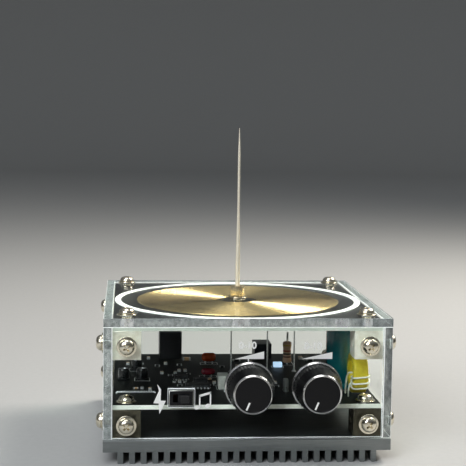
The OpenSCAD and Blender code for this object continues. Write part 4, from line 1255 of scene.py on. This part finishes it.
# A kind is its length, width, height and finish.
CAP, RES = (2, 1.25, 0.9, 1), (2, 1.25, 0.6, 2)
SMALL_CAP, SMALL_RES = (1.6, 0.8, 0.5, 1), (1.6, 0.8, 0.5, 2)
BIG_CAP, BIG_RES = (3.2, 1.6, 1.1, 1), (3.2, 1.6, 0.7, 2)
WIDE_CAP, THICK_RES = (1.6, 0.9, 0.6, 1), (2, 1.25, 0.8, 2)
SMALL_PARTS = [  # x, y, turned, kind
    (-28.4, 6.3, 90, CAP), (-23.2, 6.2, 90, CAP), (-21.6, 10.6, 90, CAP), (-19.2, 10.6, 90, CAP),
    (-18.2, 4.6, 0, SMALL_RES), (-25.2, 2.2, 0, RES), (-24.2, -9.8, 90, RES), (-22.2, -9.8, 90, CAP),
    (-20.2, -9.8, 90, RES), (-10.6, -4.6, 0, SMALL_CAP), (-9.4, -12.2, 90, CAP),
    (-10.4, -15.6, 0, SMALL_RES), (-22.6, -21.4, 90, SMALL_RES), (-24.2, -21.4, 90, SMALL_CAP),
    (-22.4, -16.6, 0, RES), (-38.5, -20.6, 0, WIDE_CAP), (-36.3, -20.6, 90, THICK_RES),
    (-33.4, -22.8, 90, CAP), (-5.9, -26.6, 0, CAP), (-2.6, -26.4, 90, RES), (-1.6, -16.2, 0, RES),
    (13.2, -18.4, 0, RES), (13.4, -12.6, 90, CAP), (24.8, -4.6, 0, CAP), (24.8, -8.2, 0, RES),
    (27.4, 9.8, 0, RES), (32.6, 9.8, 0, CAP), (29.3, 34.5, 90, BIG_CAP), (32.6, 30.6, 0, BIG_RES),
    (-41.4, 24.6, 90, CAP), (-36.2, 24.6, 0, RES), (-33.0, 36.0, 90, CAP), (-29.8, 20.8, 0, RES),
    (-26.4, 24.8, 90, CAP), (-21.0, 22.4, 0, RES), (-4.2, 18.4, 0, RES), (1.8, 18.6, 90, CAP),
    (6.8, 14.2, 0, RES), (2.6, 30.8, 0, BIG_RES), (8.0, 26.4, 90, CAP), (-17.6, 33.2, 0, BIG_CAP),
]


def small_part(length, width, height, kind):
    """A block with tinned ends: faces 0 tin, 1 pale ceramic, 2 dark glass."""
    bm = bmesh.new()
    block(bm, (length, width, height), (0, 0, height / 2 + 0.02))
    cap = length / 2 - length * 0.2
    for side in (-1, 1):
        bmesh.ops.bisect_plane(bm, geom=bm.verts[:] + bm.edges[:] + bm.faces[:], dist=0.0001,
                               plane_co=(side * cap, 0, 0), plane_no=(1, 0, 0))
    paint(bm.faces, kind, lambda f: abs(spot(f).x) < cap - 0.01)
    soften(bm, 0.06)
    return bm


ceramic = painted("pale_ceramic", "#c9a478", "#a98558", 0.4, grain=2)
glass_black = painted("dark_glass", "#20201f", "#141414", 0.3, grain=2, Coat_Weight=0.4)
row = [stamped(small_part(*kind), [on_board(x, y, turn=turn)]) for x, y, turn, kind in SMALL_PARTS]
make_piece("surface_parts", joined(row), [tin, ceramic, glass_black], "nickel", sharp=40)
print("surface parts:", len(SMALL_PARTS))

# %% [markdown]
# Between the knobs stands a quartz crystal in its drawn metal can: an oval with a rolled rim at
# the foot. A circle is stretched into the oval, then extruded up and drawn in step by step.

# %% The crystal's can
CRYSTAL_PLACE = (15.8, -25.2)
CRYSTAL_STEPS = (((1, 1, 1), 0.5), ((0.88, 0.8, 1), 0.05), ((1, 1, 1), 3.6), ((0.93, 0.87, 1), 0.25))


def make_crystal():
    bm = bmesh.new()
    bmesh.ops.create_circle(bm, cap_ends=True, segments=32, radius=1.0)
    for v in bm.verts:
        v.co.y += math.copysign(0.9, v.co.y) if abs(v.co.y) > 0.01 else 0
    bmesh.ops.scale(bm, vec=(1.0, 1.25, 1), verts=bm.verts)
    for step, rise in CRYSTAL_STEPS:
        top = max(bm.faces, key=lambda f: spot(f).z)
        grown = bmesh.ops.extrude_discrete_faces(bm, faces=[top])["faces"]
        bmesh.ops.translate(bm, vec=(0, 0, rise), verts=grown[0].verts[:])
        bmesh.ops.scale(bm, vec=step, verts=grown[0].verts[:])
    bmesh.ops.recalc_face_normals(bm, faces=bm.faces)
    make_piece("crystal_can", stamped(bm, [on_board(*CRYSTAL_PLACE, lift=0.02)]), [silver_foil], "nickel",
               sharp=35)


make_crystal()
print("crystal can at", CRYSTAL_PLACE)

# %% [markdown]
# ## Lamp, transistors, controls and sockets
# These keep their CAD shapes with softened edges; what they lack is a second material where metal
# comes out of plastic. Each face is painted by its place: legs, collars, pins and noses.

# %% Parts with a second finish
def two_finish(name, node, materials, slot, width, test, **options):
    bm = copy_of(node)
    soften(bm, width)
    paint(bm.faces, 1, test)
    return make_piece(name, bm, materials, slot, replaces=[node], **options)


LEGS_END, COLLARS_START, PIN_HEIGHT, PIN_HALF, NOSE_LONG = 3.95, -46.1, 6.3, 1.1, 3.95
lamp_glow = painted("lamp_clear", "#e4f0fc", "#c4dcf4", 0.15, Coat_Weight=0.6,
                    Emission_Color=tint("#bfe0ff"), Emission_Strength=0.9)
softened("lens_lamp", "status_lamp", [lamp_glow], "lamp_clear", 0.3, segments=3)
two_finish("leaded_transistors", "power_transistors", [epoxy_black, tin], "transistor_black", 0.18,
           lambda f: spot(f).y < LEGS_END)
for control in ("freq", "power"):
    two_finish(control + "_control_body", control + "_control", [control_green, shaft_metal],
               "control_green", 0.2, lambda f: spot(f).y < COLLARS_START)
pin_axis = middle("power_socket").x
two_finish("power_inlet", "power_socket", [socket_black, tin], "socket_black", 0.2,
           lambda f: abs(spot(f).x - pin_axis) < PIN_HALF
           and abs(spot(f).z - board_top - PIN_HEIGHT) < PIN_HALF and spot(f).y > 40)
two_finish("audio_inlet", "audio_socket", [socket_black, shell_steel], "socket_black", 0.15,
           lambda f: spot(f).y > CASE_Y - NOSE_LONG)
print("two-finish parts done")

# %% [markdown]
# ## The slide switch
# The shell is thin steel, folded, so its rim is round and catches the light. Its bevel gets the
# bright steel, and the flats a dark copy of it: painted shade, for a face that stays dark under the
# sheet. The button has fine grips across its end.

# %% Switch shell, base and button
# A dark copy of the switch steel for the shell's flats: painted shade
shade_steel_copy = streaked("painted_shade_steel", "#2a2a2b", "#17171a", 0.4, (0.1, 1, 2), metallic=0.8)
shell = copy_of("switch_shell")
shell_face, shell_middle = span("switch_shell")[0].y, middle("switch_shell").x
rim = soften(shell, 0.3, segments=2,
             only=lambda e: all(abs(v.co.y - shell_face) < 0.01 for v in e.verts)
             and max(abs(v.co.x - shell_middle) for v in e.verts) > 4)
paint(shell.faces, 1)
paint(rim, 0)
make_piece("folded_shell", shell, [shell_steel, shade_steel_copy], "switch_steel",
           replaces=["switch_shell"], sharp=50)
softened("phenolic_base", "switch_base", [phenolic], "phenolic", 0.1, segments=1)
GRIPS, GRIP_PITCH, GRIP_HALF = 5, 0.55, 1.0


def make_button():
    bm = copy_of("mode_slider")
    soften(bm, 0.15)
    centre, y = middle("mode_slider"), span("mode_slider")[0].y + 0.02
    grips = []
    for i in range(GRIPS):
        x = centre.x + (i - (GRIPS - 1) / 2) * GRIP_PITCH
        grips.append(bar([(x, y, centre.z - GRIP_HALF), (x, y, centre.z + GRIP_HALF)], 0.12, 8))
    make_piece("gripped_button", joined([bm] + grips), [button_black], "button_black", body="mode_button",
               replaces=["mode_slider"])


make_button()
print("switch done")

# %% [markdown]
# ## The rest of the nodes
# These CAD nodes already have the right shape, so each only gets its finish.

# %% Finishes on the CAD nodes
NODE_FINISH = {"discharge_needle": steel, "freq_shaft": shaft_metal, "power_shaft": shaft_metal,
               "transistor_pads": pad_grey}
for node, finish in NODE_FINISH.items():
    slots = cad_nodes[node].data.materials
    slots.clear()
    slots.append(finish)
print("nodes with a finish:", len(NODE_FINISH))
